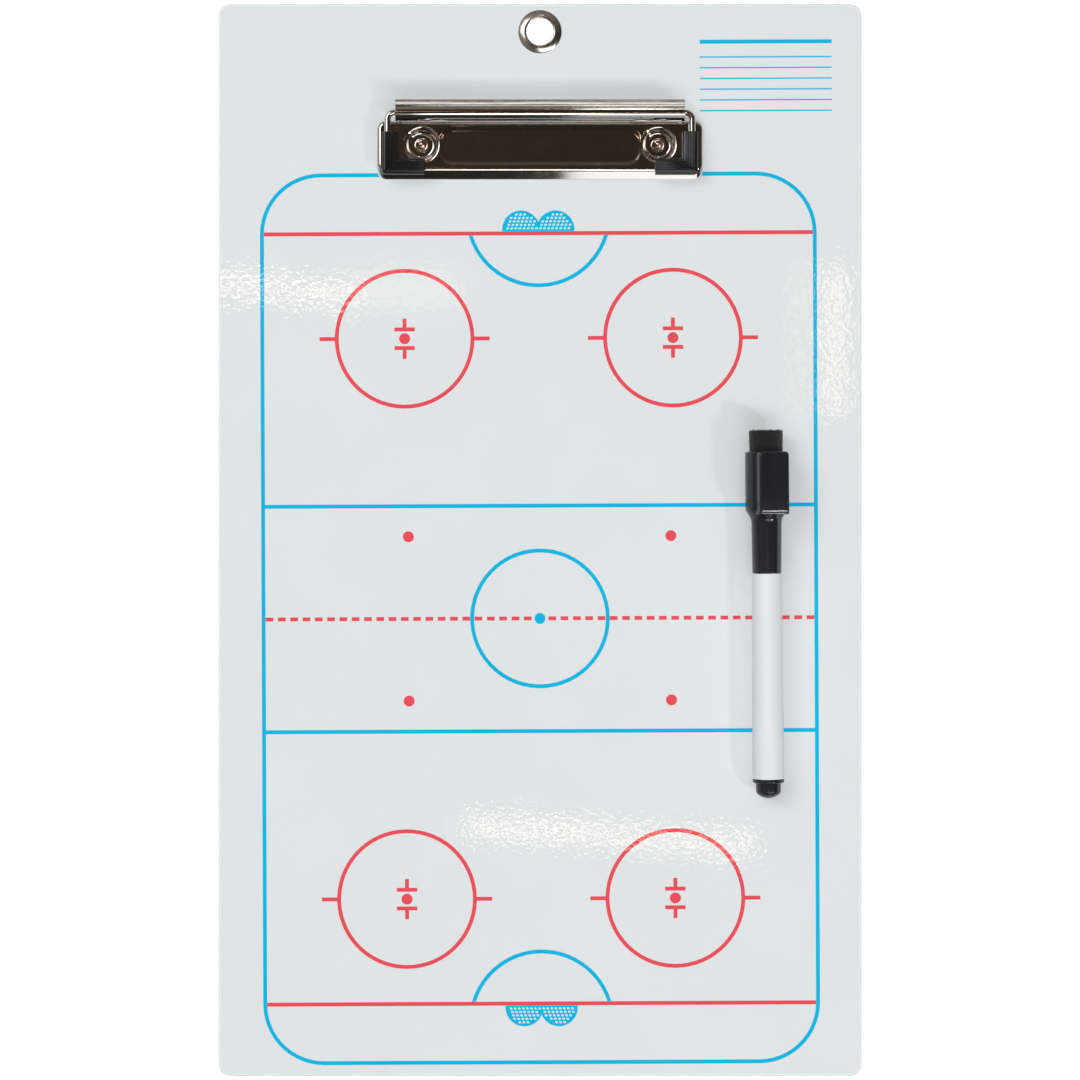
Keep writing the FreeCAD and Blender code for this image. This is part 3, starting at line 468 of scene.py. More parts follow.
class Bench:
    """Makes finished pieces out of meshes and hands them to the frame."""

    def __init__(self) -> None:
        """Make the material of each slot."""
        self.finishes = {slot: finish.material() for slot, finish in FINISHES.items()}

    def dress(self, node: str, slot: Slot) -> None:
        """Put a slot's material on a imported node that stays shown.

        Args:
            node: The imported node's name.
            slot: The material slot.
        """
        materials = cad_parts[node].data.materials
        materials.clear()
        materials.append(self.finishes[slot])
        LOG.info("dressed %s in %s", node, slot.value)

    def hand_over(self, mesh: Mesh, name: str, body: Body, slot: Slot, *replaced: str) -> Piece:
        """Make an object of a mesh, dress it and let it ride on its body.

        Args:
            mesh: The finished mesh in metres, which is freed.
            name: The piece's name.
            body: The body that carries the piece.
            slot: The material slot of its finish.
            *replaced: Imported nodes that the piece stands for.

        Returns:
            The new object.
        """
        data = bpy.data.meshes.new(name)
        for face in mesh.faces:
            face.smooth = True
        mesh.to_mesh(data)
        mesh.free()
        data.set_sharp_from_angle(angle=SHARP_ANGLE)
        data.materials.append(self.finishes[slot])
        piece = bpy.data.objects.new(name, data)
        bpy.context.scene.collection.objects.link(piece)
        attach(piece, body.value)
        if replaced:
            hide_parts(*replaced)
        LOG.info("built %s with %d faces on %s", name, len(data.polygons), body.value)
        return piece

    def thicken(self, piece: Piece, thickness: float, offset: float) -> None:
        """Give a sheet its thickness in millimetres, from -1 behind its faces to 1 before them."""
        modify(
            piece, "SOLIDIFY", thickness=thickness * MM, offset=offset, use_even_offset=True,
            use_quality_normals=True,
        )


@dataclass
class BoardSheet:
    """The laminated sheet with its print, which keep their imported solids."""

    bench: Bench

    def build(self) -> None:
        """Dress the sheet, its films and its print."""
        self.bench.dress("board_core", Slot.CORE)
        self.bench.dress("writing_film", Slot.LAMINATE)
        self.bench.dress("back_film", Slot.LAMINATE)
        self.bench.dress("rink_lines_blue", Slot.BLUE_INK)
        self.bench.dress("rink_lines_red", Slot.RED_INK)


@dataclass
class HangingEyelet:
    """Domed eyelet at the top of the sheet, with its washer at the back."""

    bench: Bench
    y: float = 189.4
    face: float = 3.85
    bore: float = 5.05
    barrel: float = 5.55
    flange: float = 8.2
    crest: float = 5.65
    dome: float = 1.1
    lip: float = 6.45
    lip_top: float = 0.4
    steps: int = 96

    def build(self) -> None:
        """Build the eyelet and dress the washer."""
        crown = self.face + self.dome
        mesh = spun([
            (self.bore, 0.3), (self.bore, crown - 0.5), (self.bore + 0.08, crown - 0.28),
            (self.bore + 0.3, crown - 0.11), (self.crest, crown), (self.crest + 0.75, crown - 0.18),
            (self.crest + 1.5, crown - 0.48), (self.crest + 2.15, crown - 0.82),
            (self.flange - 0.08, self.face + 0.1), (self.flange, self.face),
            (self.barrel, self.face), (self.barrel, self.lip_top), (self.lip, self.lip_top),
            (self.lip - 0.05, 0.15), (self.lip - 0.3, 0.0), (self.bore + 0.3, 0.0),
        ], self.steps, closed=True)
        moved(mesh, shift(0, self.y, 0))
        piece = self.bench.hand_over(mesh, "eyelet_ring", Body.BOARD, Slot.NICKEL, "grommet_eyelet")
        modify(piece, "SUBSURF", levels=1, render_levels=1)
        self.bench.dress("grommet_washer", Slot.NICKEL)


def eased(value: float) -> float:
    """Smooth step between 0 and 1."""
    held = min(max(value, 0.0), 1.0)
    return held * held * held * (held * (6 * held - 15) + 10)


def beyond_rounded(x: float, y: float, half_x: float, half_y: float, corner: float) -> float:
    """Distance of a point outside a rounded rectangle about the origin, negative inside."""
    over_x, over_y = abs(x) - half_x + corner, abs(y) - half_y + corner
    return math.hypot(max(over_x, 0.0), max(over_y, 0.0)) + min(max(over_x, over_y), 0.0) - corner


@dataclass
class ClipBase:
    """Stamped sheet tray of the clip, with its hinge ears and rivets."""

    bench: Bench
    half_length: float = 60.6
    front: float = 134.4
    rear: float = 156.0
    face: float = 3.85
    top: float = 6.85
    sheet: float = 0.8
    corner: float = 3.2
    roll: float = 1.5
    roll_steps: int = 10
    front_roll: float = 3.8
    front_bend: float = 2.0
    front_tilt: float = math.radians(38.0)
    bend_share: float = 0.6
    cell: float = 0.3
    panel_end: float = 37.2
    panel_half_depth: float = 6.5
    panel_corner: float = 5.0
    panel_y: float = 146.4
    panel_sink: float = 0.25
    panel_run: float = 2.6
    rivet_x: float = 44.0
    rivet_y: float = 146.9
    rivet_back: float = 0.85
    rivet_steps: int = 64
    dish_outer: float = 7.0
    dish_floor: float = 3.9
    dish_depth: float = 2.2
    hole: float = 2.1
    hinge_y: float = 158.6
    hinge_z: float = 9.25
    ear_x: float = 52.0
    ear_radius: float = 2.35
    ear_hole: float = 1.25
    ear_steps: int = 32

    def pressed_depth(self, x: float, y: float) -> float:
        """Depth of the pressing at a place on the plate.

        Args:
            x: Place across the plate in millimetres.
            y: Place along the board in millimetres.

        Returns:
            Depth below the plate's top in millimetres.
        """
        along = y - self.panel_y
        edge = beyond_rounded(x, along, self.panel_end, self.panel_half_depth, self.panel_corner)
        panel = self.panel_sink * eased(0.5 - edge / self.panel_run)
        reach = math.hypot(abs(x) - self.rivet_x, y - self.rivet_y)
        dish = self.dish_depth * eased((self.dish_outer - reach) / (self.dish_outer - self.dish_floor))
        return panel + dish * (1 - panel / self.dish_depth)

    def flat_size(self) -> Triple:
        """Half length, half depth and middle of the top, up to where its edge starts to roll."""
        half = (self.rear - self.front - self.roll - self.front_roll) / 2
        return self.half_length - self.roll, half, self.front + self.front_roll + half

    def flat_top(self) -> Mesh:
        """Make the plate's pressed top up to where its edge starts to roll.

        Returns:
            The open sheet in metres.
        """
        half_x, half_y, middle = self.flat_size()
        turn = self.corner - self.roll
        columns, rows = round(2 * half_x / self.cell), round(2 * half_y / self.cell)
        mesh = bmesh.new()
        bmesh.ops.create_grid(mesh, x_segments=columns, y_segments=rows, size=1.0)
        for vert in mesh.verts:
            x, y = vert.co.x * half_x, vert.co.y * half_y
            across = (abs(x) - half_x + turn) / turn
            along = (abs(y) - half_y + turn) / turn
            if across > 0 and along > 0:
                x = math.copysign(half_x - turn + turn * across * math.sqrt(1 - along * along / 2), x)
                y = math.copysign(half_y - turn + turn * along * math.sqrt(1 - across * across / 2), y)
            y += middle
            vert.co = Vector((x, y, self.top - self.pressed_depth(x, y))) * MM
        return mesh

    def roll_edge(self, mesh: Mesh) -> None:
        """Turn the sheet's rim down to the board.

        Args:
            mesh: The open sheet, which grows its rolled wall.
        """
        half_x, half_y, middle = self.flat_size()
        inner_x, inner_y = half_x - self.corner + self.roll, half_y - self.corner + self.roll
        rim = [edge for edge in mesh.edges if edge.is_boundary]
        places = {}
        for vert in {vert for edge in rim for vert in edge.verts}:
            x, y = vert.co.x / MM, vert.co.y / MM - middle
            away = Vector((x - min(max(x, -inner_x), inner_x), y - min(max(y, -inner_y), inner_y)))
            places[vert] = (vert.co.copy(), away.normalized())
        for step in range(1, self.roll_steps + 2):
            share = min(step, self.roll_steps) / self.roll_steps
            reach = self.roll * math.sin(QUARTER_TURN * share)
            fall = self.roll * (1 - math.cos(QUARTER_TURN * share))
            apron, drop = self.apron_curve(share)
            rim, places = drawn_out(mesh, rim, places)
            for vert, (start, outward) in places.items():
                out_y = outward.y * (apron if outward.y < 0 else reach)
                down = fall + (drop - fall) * max(-outward.y, 0.0) ** 2
                vert.co = start + Vector((outward.x * reach, out_y, -down)) * MM
                if step > self.roll_steps:
                    vert.co.z = self.face * MM

    def apron_curve(self, share: float) -> Point:
        """Reach and fall of the front apron: a bend and then a straight slope.

        Args:
            share: Place on the apron from 0 at the plate's top to 1 at its edge.

        Returns:
            Reach to the front and fall, in millimetres.
        """
        angle = self.front_tilt * min(share / self.bend_share, 1.0)
        reach = self.front_bend * math.sin(angle)
        beyond = max(share - self.bend_share, 0.0) / (1 - self.bend_share)
        straight = (self.front_roll - reach) * beyond
        fall = self.front_bend * (1 - math.cos(angle)) + straight * math.tan(self.front_tilt)
        return reach + straight, fall

    def open_holes(self, mesh: Mesh) -> None:
        """Cut the rivet holes in the dish floors.

        Args:
            mesh: The pressed sheet.
        """
        hole = self.hole * MM
        for side in Side:
            centre = Vector((side.value * self.rivet_x, self.rivet_y)) * MM
            inside = {
                face for face in mesh.faces if (face.calc_center_median().xy - centre).length < hole
            }
            verts = {vert for face in inside for vert in face.verts}
            rim = [vert for vert in verts if not inside.issuperset(vert.link_faces)]
            bmesh.ops.delete(mesh, geom=list(inside), context="FACES")
            for vert in rim:
                vert.co.xy = centre + (vert.co.xy - centre).normalized() * hole

    def plate(self) -> None:
        """Build the pressed plate."""
        mesh = self.flat_top()
        self.roll_edge(mesh)
        self.open_holes(mesh)
        face_out(mesh)
        if sum(face.normal.z * face.calc_area() for face in mesh.faces) < 0:
            bmesh.ops.reverse_faces(mesh, faces=mesh.faces[:])
        piece = self.bench.hand_over(
            mesh, "clip_pressed_plate", Body.BOARD, Slot.CLIP_CHROME, "clip_base_plate"
        )
        self.bench.thicken(piece, self.sheet, -1.0)

    def ears(self) -> None:
        """Build the two lugs that carry the hinge bar: a ring and the web that joins it to the plate."""
        half = self.sheet / 2
        wall = self.rear - half
        slant = self.ear_radius * math.sqrt(0.5)
        inner = slant * 0.6
        ring = [(radius, 0.0) for radius in (self.ear_hole, self.ear_radius)]
        ring += [(radius, self.sheet) for radius in (self.ear_radius, self.ear_hole)]
        corners = [
            (wall, self.face + half), (self.hinge_y + slant, self.hinge_z - slant),
            (self.hinge_y + inner, self.hinge_z - inner - 0.1),
            (self.hinge_y - inner - 0.1, self.hinge_z + inner),
            (self.hinge_y - slant, self.hinge_z + slant), (wall, self.top - half),
        ]
        for side in Side:
            mesh = spun(ring, self.ear_steps, closed=True)
            moved(mesh, shift(-half, self.hinge_y, self.hinge_z) @ Matrix.Rotation(QUARTER_TURN, 4, "Y"))
            web = mesh.faces.new([mesh.verts.new(Vector((-half, y, z)) * MM) for y, z in corners])
            grown = bmesh.ops.extrude_face_region(mesh, geom=[web])["geom"]
            bmesh.ops.translate(mesh, vec=(self.sheet * MM, 0, 0), verts=only(grown, Vert))
            face_out(mesh)
            moved(mesh, shift(side.value * self.ear_x, 0, 0))
            self.bench.hand_over(mesh, f"clip_ear_{side.name.lower()}", Body.BOARD, Slot.CLIP_CHROME)

    def rivets(self) -> None:
        """Build the two semi-tubular rivets, each with a flat tail and a cupped head."""
        seat = self.face + self.sheet
        back = self.rivet_back
        profile = [
            (0.0, back - 0.5), (4.0, back - 0.5), (4.4, back - 0.2), (4.5, back), (2.0, back),
            (2.0, seat), (2.75, seat), (2.8, seat + 0.2), (2.62, seat + 0.48), (2.2, seat + 0.6),
            (1.85, seat + 0.52), (1.55, seat + 0.28), (1.25, seat - 0.1), (0.9, seat - 0.38),
            (0.45, seat - 0.54), (0.0, seat - 0.6),
        ]
        for side in Side:
            node = f"rivet_{side.name.lower()}"
            mesh = moved(spun(profile, self.rivet_steps), shift(side.value * self.rivet_x, self.rivet_y, 0))
            self.bench.hand_over(mesh, f"clip_{node}", Body.BOARD, Slot.RIVET_METAL, node)

    def build(self) -> None:
        """Build the plate, its ears and its rivets, and dress the springs."""
        self.plate()
        self.ears()
        self.rivets()
        for side in Side:
            self.bench.dress(f"torsion_spring_{side.name.lower()}", Slot.SPRING_STEEL)


@dataclass
class Bender:
    """Draws the edges of a mesh out along a path of runs and turns, square to an axis."""

    mesh: Mesh
    here: Vector
    ahead: Vector
    axis: Vector

    def __post_init__(self) -> None:
        """Take all edges of the mesh as the front of the path."""
        self.front = self.mesh.edges[:]

    def run(self, length: float) -> None:
        """Go straight on.

        Args:
            length: Length in millimetres.
        """
        step = self.ahead * length * MM
        grown = bmesh.ops.extrude_edge_only(self.mesh, edges=self.front)["geom"]
        bmesh.ops.translate(self.mesh, vec=step, verts=only(grown, Vert))
        self.front = only(grown, Edge)
        self.here = self.here + step

    def turn(self, degrees: float, radius: float, steps: int) -> None:
        """Go round a bend.

        Args:
            degrees: Angle of the bend, positive to the left.
            radius: Radius of the path in millimetres.
            steps: Straight pieces in the bend.
        """
        angle = math.radians(degrees)
        bend = Matrix.Rotation(angle, 3, self.axis)
        side = self.axis.cross(self.ahead) * math.copysign(radius * MM, degrees)
        centre = self.here + side
        self.front = only(sweep(self.mesh, self.front, centre, self.axis, angle, steps), Edge)
        self.here = centre - bend @ side
        self.ahead = bend @ self.ahead


@dataclass
class ClipJaw:
    """The moving half of the clip: lever, bail wire and grip sleeves."""

    bench: Bench
    hinge_y: float = 158.6
    hinge_z: float = 9.25
    lever_end: float = 53.6
    lever_sheet: float = 0.7
    lever_edge: float = 0.12
    hook_radius: float = 3.0
    hook_start: float = math.radians(190.0)
    hook_turn: float = -124.0
    hook_steps: int = 28
    flange_turn: float = 74.5
    flange_bend: float = 1.15
    flange_run: float = 2.1
    flange_steps: int = 14
    cheek_hole: float = 1.22
    cheek_steps: int = 40
    wire: float = 1.2
    wire_sides: int = 24
    wire_bend: float = 2.6
    bend_steps: int = 12
    limb_x: float = 56.5
    finger_y: float = 138.4
    finger_end: float = 44.0
    sleeve_x: float = 55.7
    sleeve_width: float = 5.8
    sleeve_height: float = 4.7
    sleeve_inner: float = 42.8
    sleeve_rear: float = 151.3
    sleeve_corner: float = 1.1
    sleeve_plan_round: float = 1.6
    plan_steps: int = 6
    section_steps: int = 4
    rib_count: int = 6
    rib_height: float = 0.3
    cap_inset: float = 0.25
    cap_rise: float = 0.18

    def lever(self) -> None:
        """Build the rolled lever with its two end cheeks."""
        across = Vector((1, 0, 0))
        hinge = Vector((0, self.hinge_y, self.hinge_z)) * MM
        arm = Vector((0, math.cos(self.hook_start), math.sin(self.hook_start)))
        start = hinge + arm * self.hook_radius * MM
        end = across * self.lever_end * MM
        mesh = bmesh.new()
        mesh.edges.new([mesh.verts.new(start - end), mesh.verts.new(start + end)])
        strip = Bender(mesh, start, arm.cross(across), across)
        strip.turn(self.hook_turn, self.hook_radius, self.hook_steps)
        strip.turn(self.flange_turn, self.flange_bend, self.flange_steps)
        strip.run(self.flange_run)
        face_out(mesh)
        for side in Side:
            cheek = hinge + across * side.value * (self.lever_end - self.lever_sheet / 2) * MM
            radii = (self.cheek_hole, self.hook_radius)
            ends = [mesh.verts.new(cheek + Vector((0, radius, 0)) * MM) for radius in radii]
            spoke = mesh.edges.new(ends)
            sweep(mesh, [*ends, spoke], hinge, across, FULL_TURN, self.cheek_steps)
        weld(mesh)
        piece = self.bench.hand_over(mesh, "clip_rolled_lever", Body.JAW, Slot.CLIP_CHROME, "clip_lever")
        self.bench.thicken(piece, self.lever_sheet, 0.0)
        modify(
            piece, "BEVEL", width=self.lever_edge * MM, segments=2, limit_method="ANGLE",
            angle_limit=SHARP_ANGLE, use_clamp_overlap=True, harden_normals=True,
        )

    def bail(self) -> None:
        """Build the bent wire: fingers, limbs and hinge bar."""
        finger = self.limb_x - self.finger_end - self.wire_bend
        limb = self.hinge_y - self.finger_y - 2 * self.wire_bend
        bar = 2 * (self.limb_x - self.wire_bend)
        start = Vector((-self.finger_end, self.finger_y, self.hinge_z)) * MM
        place = Matrix.Translation(start) @ Matrix.Rotation(-QUARTER_TURN, 4, "Y")
        mesh = bmesh.new()
        bmesh.ops.create_circle(
            mesh, cap_ends=False, radius=self.wire * MM, segments=self.wire_sides, matrix=place
        )
        wire = Bender(mesh, start, Vector((-1, 0, 0)), Vector((0, 0, 1)))
        for length in (finger, limb, bar, limb):
            wire.run(length)
            wire.turn(-90.0, self.wire_bend, self.bend_steps)
        wire.run(finger)
        fill_ends(mesh)
        face_out(mesh)
        self.bench.hand_over(mesh, "clip_bail_wire", Body.JAW, Slot.CLIP_CHROME, "bail_wire")

    def section_corner(self, x: float, z: float, start: float) -> list[Point]:
        """Quarter round of a sleeve's section.

        Args:
            x: Middle of the round across the sleeve, in millimetres.
            z: Height of its middle in millimetres.
            start: Start angle in radians.

        Returns:
            Points of (offset, height) in millimetres.
        """
        radius, count = self.sleeve_corner, self.section_steps
        turns = [start + QUARTER_TURN * step / count for step in range(count + 1)]
        return [(x + radius * math.cos(turn), z + radius * math.sin(turn)) for turn in turns]

    def sleeve_section(self) -> list[Point]:
        """Outline of a sleeve about its middle: flat foot, round corners and a ribbed crown.

        Returns:
            Points of (offset, height) in millimetres, in order round the section.
        """
        side = self.sleeve_width / 2 - self.sleeve_corner
        low = self.sleeve_corner - self.sleeve_height / 2
        valley = self.sleeve_height / 2 - self.rib_height
        high = valley - self.sleeve_corner
        points = self.section_corner(side, low, -QUARTER_TURN) + self.section_corner(side, high, 0.0)
        pitch = 2 * side / self.rib_count
        for index in range(self.rib_count):
            for part, rise in ((0.2, 0.75), (0.5, 1.0), (0.8, 0.75), (1.0, 0.0)):
                points.append((side - (index + part) * pitch, valley + rise * self.rib_height))
        points += self.section_corner(-side, high, QUARTER_TURN)[1:]
        return points + self.section_corner(-side, low, 2 * QUARTER_TURN)

    def sleeve_spot(self, station: int, offset: float) -> Point:
        """Place of one line of a sleeve's section at a station along the sleeve.

        Args:
            station: 0 at the inner end, then round the corner, and last at the rear end.
            offset: The line's offset across the sleeve in millimetres.

        Returns:
            X and Y in millimetres.
        """
        if station == 0:
            return self.sleeve_inner, self.finger_y + offset
        if station > self.plan_steps + 1:
            return self.sleeve_x - offset, self.sleeve_rear
        angle = QUARTER_TURN * (station - 1) / self.plan_steps
        radius = max(0.0, self.sleeve_plan_round - self.sleeve_width / 2 - offset)
        x = self.sleeve_x - offset - radius + radius * math.sin(angle)
        return x, self.finger_y + offset + radius - radius * math.cos(angle)

    def sleeves(self) -> None:
        """Build the two ribbed grips on the bail's fingers."""
        for side in Side:
            name = side.name.lower()
            mesh = bmesh.new()
            offsets = {}
            for offset, height in self.sleeve_section():
                spot = Vector((*self.sleeve_spot(0, offset), self.hinge_z + height)) * MM
                offsets[mesh.verts.new(spot)] = offset
            verts = list(offsets)
            rim = [mesh.edges.new(ends) for ends in zip(verts, verts[1:] + verts[:1])]
            for station in range(1, self.plan_steps + 3):
                rim, offsets = drawn_out(mesh, rim, offsets)
                for vert, offset in offsets.items():
                    vert.co.xy = Vector(self.sleeve_spot(station, offset)) * MM
            weld(mesh)
            caps = fill_ends(mesh)
            bmesh.ops.inset_individual(
                mesh, faces=caps, thickness=self.cap_inset * MM, depth=self.cap_rise * MM
            )
            if side is Side.LEFT:
                moved(mesh, Matrix.Scale(-1, 4, (1, 0, 0)))
            face_out(mesh)
            node = f"grip_sleeve_{name}"
            self.bench.hand_over(mesh, f"clip_grip_{name}", Body.JAW, Slot.SLEEVE_PLASTIC, node)

    def build(self) -> None:
        """Build the lever, the bail and the sleeves."""
        self.lever()
        self.bail()
        self.sleeves()


@dataclass
class MarkerPen:
    """The capped dry-wipe marker that lies on the sheet, built along Z and then laid down."""

    bench: Bench
    head_x: float = 83.5
    head_y: float = 40.5
    ink_top: float = 3.9
    gap: float = 0.05
    fit: float = 0.05
    yaw: float = math.radians(0.5)
    roll: float = math.radians(17.0)
    steps: int = 120
    head_radius: float = 7.8
    head_start: float = 7.8
    head_end: float = 28.4
    shoulder: float = 29.4
    taper_foot: float = 32.9
    cap_end: float = 52.7
    waist: float = 5.6
    mouth: float = 5.35
    socket: float = 6.15
    socket_floor: float = 13.8
    cap_floor: float = 17.8
    holder_bore: float = 4.45
    nib_bore: float = 3.525
    bore_step: float = 33.35
    tongue_half: float = 5.85
    tongue_face: float = 8.9
    tongue_depth: float = 4.0
    tongue_end: float = 31.0
    tongue_ramp: float = 1.5
    ramp_fall: float = 0.415
    ramp_hold: float = 0.1
    end_round: float = 0.6
    side_round: float = 0.9
    corner_round: float = 1.5
    round_segments: int = 6
    foot_radius: float = 7.2
    foot_step: float = 1.0
    foot_strips: int = 16
    barrel_start: float = 52.85
    barrel_end: float = 128.95
    barrel_front: float = 5.45
    barrel_rear: float = 5.9
    barrel_bore: float = 4.55
    spigot_length: float = 8.0
    flange_end: float = 130.45
    flange_radius: float = 5.85
    knob_radius: float = 4.65
    dome: float = 2.2
    dome_steps: int = 8
    tail_end: float = 136.25
    holder_tip: float = 30.85
    holder_tip_radius: float = 2.6
    holder_shoulder: float = 35.85
    holder_end: float = 61.35
    nib_hole: float = 1.75
    nib_tip: float = 25.85
    nib_tip_radius: float = 0.7
    nib_shoulder: float = 28.25
    nib_steps: int = 40
    felt_radius: float = 6.1
    felt_spread: float = 0.12
    felt_edge: float = 0.35
    felt_rings: int = 9
    felt_rows: int = 16
    felt_steps: int = 96
    felt_lumps: tuple[Point, ...] = ((900.0, 0.12), (2600.0, 0.07))
    fibre_count: int = 700
    fibre_seed: int = 11
    fibre_side_share: float = 0.65
    fibre_lean: float = 0.6
    fibre_length: Point = (0.35, 0.8)
    fibre_root: float = 0.05
    fibre_end: float = 0.015

    def placement(self) -> Matrix:
        """Where the marker lies: Z along it from the eraser, X out of the cap's tongue.

        Returns:
            The placement in metres.
        """
        pitch = math.atan2(self.head_radius - self.flange_radius, self.flange_end - self.head_end)
        level = math.cos(pitch)
        axis = Vector((level * math.sin(self.yaw), -level * math.cos(self.yaw), -math.sin(pitch)))
        side = -axis.cross(Vector((0, 0, 1))).normalized()
        lift = axis.cross(side).normalized()
        tongue = lift * math.cos(self.roll) + side * math.sin(self.roll)
        turn = Matrix((tongue, axis.cross(tongue), axis)).transposed().to_4x4()
        height = self.ink_top + self.gap + self.head_radius * level + self.head_end * math.sin(pitch)
        return shift(self.head_x, self.head_y, height) @ turn

    def lay(self, mesh: Mesh, name: str, body: Body, slot: Slot, node: str) -> None:
        """Lay a marker piece, made along Z, down in its place."""
        self.bench.hand_over(moved(mesh, self.placement()), name, body, slot, node)

    def barrel(self) -> None:
        """Build the white barrel with its softened ends."""
        front, rear = (self.barrel_front, self.barrel_start), (self.barrel_rear, self.barrel_end)
        bore = self.barrel_bore
        profile = [(bore, self.barrel_start), front, rear, (bore, self.barrel_end)]
        mesh = spun(profile, self.steps, [(*front, 0.25), (*rear, 0.3)], closed=True)
        self.lay(mesh, "pen_barrel", Body.MARKER, Slot.BARREL_PLASTIC, "marker_barrel")

    def tail(self) -> None:
        """Build the end plug with its flange and domed knob."""
        spigot = self.barrel_bore - self.fit
        spigot_end = self.barrel_end - self.spigot_length
        sphere = (self.knob_radius ** 2 + self.dome ** 2) / (2 * self.dome)
        flange = [(self.flange_radius, self.barrel_end), (self.flange_radius, self.flange_end)]
        knob = (self.knob_radius, self.tail_end - self.dome)
        profile = [(0.0, spigot_end), (spigot, spigot_end), (spigot, self.barrel_end), *flange]
        profile += [(self.knob_radius, self.flange_end), knob]
        for step in range(1, self.dome_steps + 1):
            angle = math.asin(self.knob_radius / sphere) * (1 - step / self.dome_steps)
            profile.append((sphere * math.sin(angle), self.tail_end - sphere * (1 - math.cos(angle))))
        mesh = spun(profile, self.steps, [(*flange[0], 0.15), (*flange[1], 0.6), (*knob, 0.8)])
        self.lay(mesh, "pen_tail_plug", Body.MARKER, Slot.MARKER_BLACK, "marker_end_plug")

    def writing_end(self) -> None:
        """Build the nib and its holder, which show when the cap is drawn off."""
        radius, plug = self.holder_bore - self.fit, self.barrel_bore - self.fit
        tip, shoulder = (self.holder_tip_radius, self.holder_tip), (radius, self.holder_shoulder)
        holder = spun([
            (self.nib_hole, self.holder_tip), tip, shoulder, (radius, self.barrel_start),
            (plug, self.barrel_start), (plug, self.holder_end), (self.nib_hole, self.holder_end),
        ], self.steps, [(*tip, 0.3), (*shoulder, 0.6)], closed=True)
        self.lay(holder, "pen_nib_holder", Body.MARKER, Slot.MARKER_BLACK, "marker_nib_holder")
        radius = self.nib_hole - self.fit
        tip, shoulder = (self.nib_tip_radius, self.nib_tip), (radius, self.nib_shoulder)
        profile = [(0.0, self.nib_tip), tip, shoulder, (radius, self.holder_end), (0.0, self.holder_end)]
        nib = spun(profile, self.nib_steps, [(*tip, 0.35), (*shoulder, 0.6)])
        self.lay(nib, "pen_nib", Body.MARKER, Slot.FELT, "marker_nib")
        self.bench.dress("marker_ink_reservoir", Slot.FIBRE)

    def tongue(self) -> Mesh:
        """Make the flat tongue on the cap's head, hollowed underneath to follow the head.

        Returns:
            The tongue along Z, in metres.
        """
        length = self.tongue_end - self.head_start
        middle = self.head_start + length / 2
        size = Matrix.Diagonal((self.tongue_depth * MM, 2 * self.tongue_half * MM, length * MM, 1.0))
        place = shift(self.tongue_face - self.tongue_depth / 2, 0, middle)
        mesh = bmesh.new()
        bmesh.ops.create_cube(mesh, size=1.0, matrix=place @ size)
        self.round_tongue(mesh)
        self.slope_tongue(mesh)
        for strip in range(1, self.foot_strips):
            across = (2 * strip / self.foot_strips - 1) * self.tongue_half
            self.cut(mesh, (0, across * MM, 0), (0, 1, 0))
        foot = (self.tongue_face - self.tongue_depth) * MM + MERGE_DISTANCE
        for vert in mesh.verts:
            if vert.co.x < foot:
                wall = self.foot_radius - (0.0 if vert.co.z < middle * MM else self.foot_step)
                vert.co.x = math.sqrt(max((wall * MM) ** 2 - vert.co.y ** 2, 0.0))
        face_out(mesh)
        return mesh

    def round_tongue(self, mesh: Mesh) -> None:
        """Round the tongue's two corners and the rim of its face, apart from its lower end.

        Args:
            mesh: The squared tongue along Z.
        """
        face = self.tongue_face * MM - NEAR
        upright = [
            edge for edge in mesh.edges
            if abs(edge.verts[0].co.x - edge.verts[1].co.x) > NEAR
            and edge.verts[0].co.z < self.head_start * MM + NEAR
        ]
        bevel(mesh, upright, self.corner_round, self.round_segments)
        rim = [
            edge for edge in mesh.edges
            if all(vert.co.x > face for vert in edge.verts)
            and min(vert.co.z for vert in edge.verts) < self.tongue_end * MM - NEAR
            and edge.calc_face_angle(0.0) > SHARP_ANGLE
        ]
        bevel(mesh, rim, self.side_round, self.round_segments)

    def slope_tongue(self, mesh: Mesh) -> None:
        """Let the tongue's face fall off towards its lower end, and round that end.

        Args:
            mesh: The tongue with its rounded rim.
        """
        start = self.tongue_end - self.tongue_ramp
        rim_foot = self.tongue_face - self.side_round
        for level in (start, start + self.ramp_hold, self.tongue_end - self.end_round - self.ramp_hold):
            self.cut(mesh, (0, 0, level * MM), (0, 0, 1))
        for vert in mesh.verts:
            if vert.co.x > rim_foot * MM - NEAR:
                vert.co.x -= max(vert.co.z - start * MM, 0.0) * self.ramp_fall / self.tongue_ramp
        low = (rim_foot - self.ramp_fall) * MM - NEAR
        end = [
            edge for edge in mesh.edges
            if all(vert.co.z > self.tongue_end * MM - NEAR and vert.co.x > low for vert in edge.verts)
            and edge.calc_face_angle(0.0) > SHARP_ANGLE
        ]
        bevel(mesh, end, self.end_round, self.round_segments)

    def cut(self, mesh: Mesh, place: Triple, across: Triple) -> None:
        """Cut all faces by a plane through a place, square to a direction."""
        geometry = mesh.verts[:] + mesh.edges[:] + mesh.faces[:]
        bmesh.ops.bisect_plane(mesh, geom=geometry, dist=MERGE_DISTANCE, plane_co=place, plane_no=across)

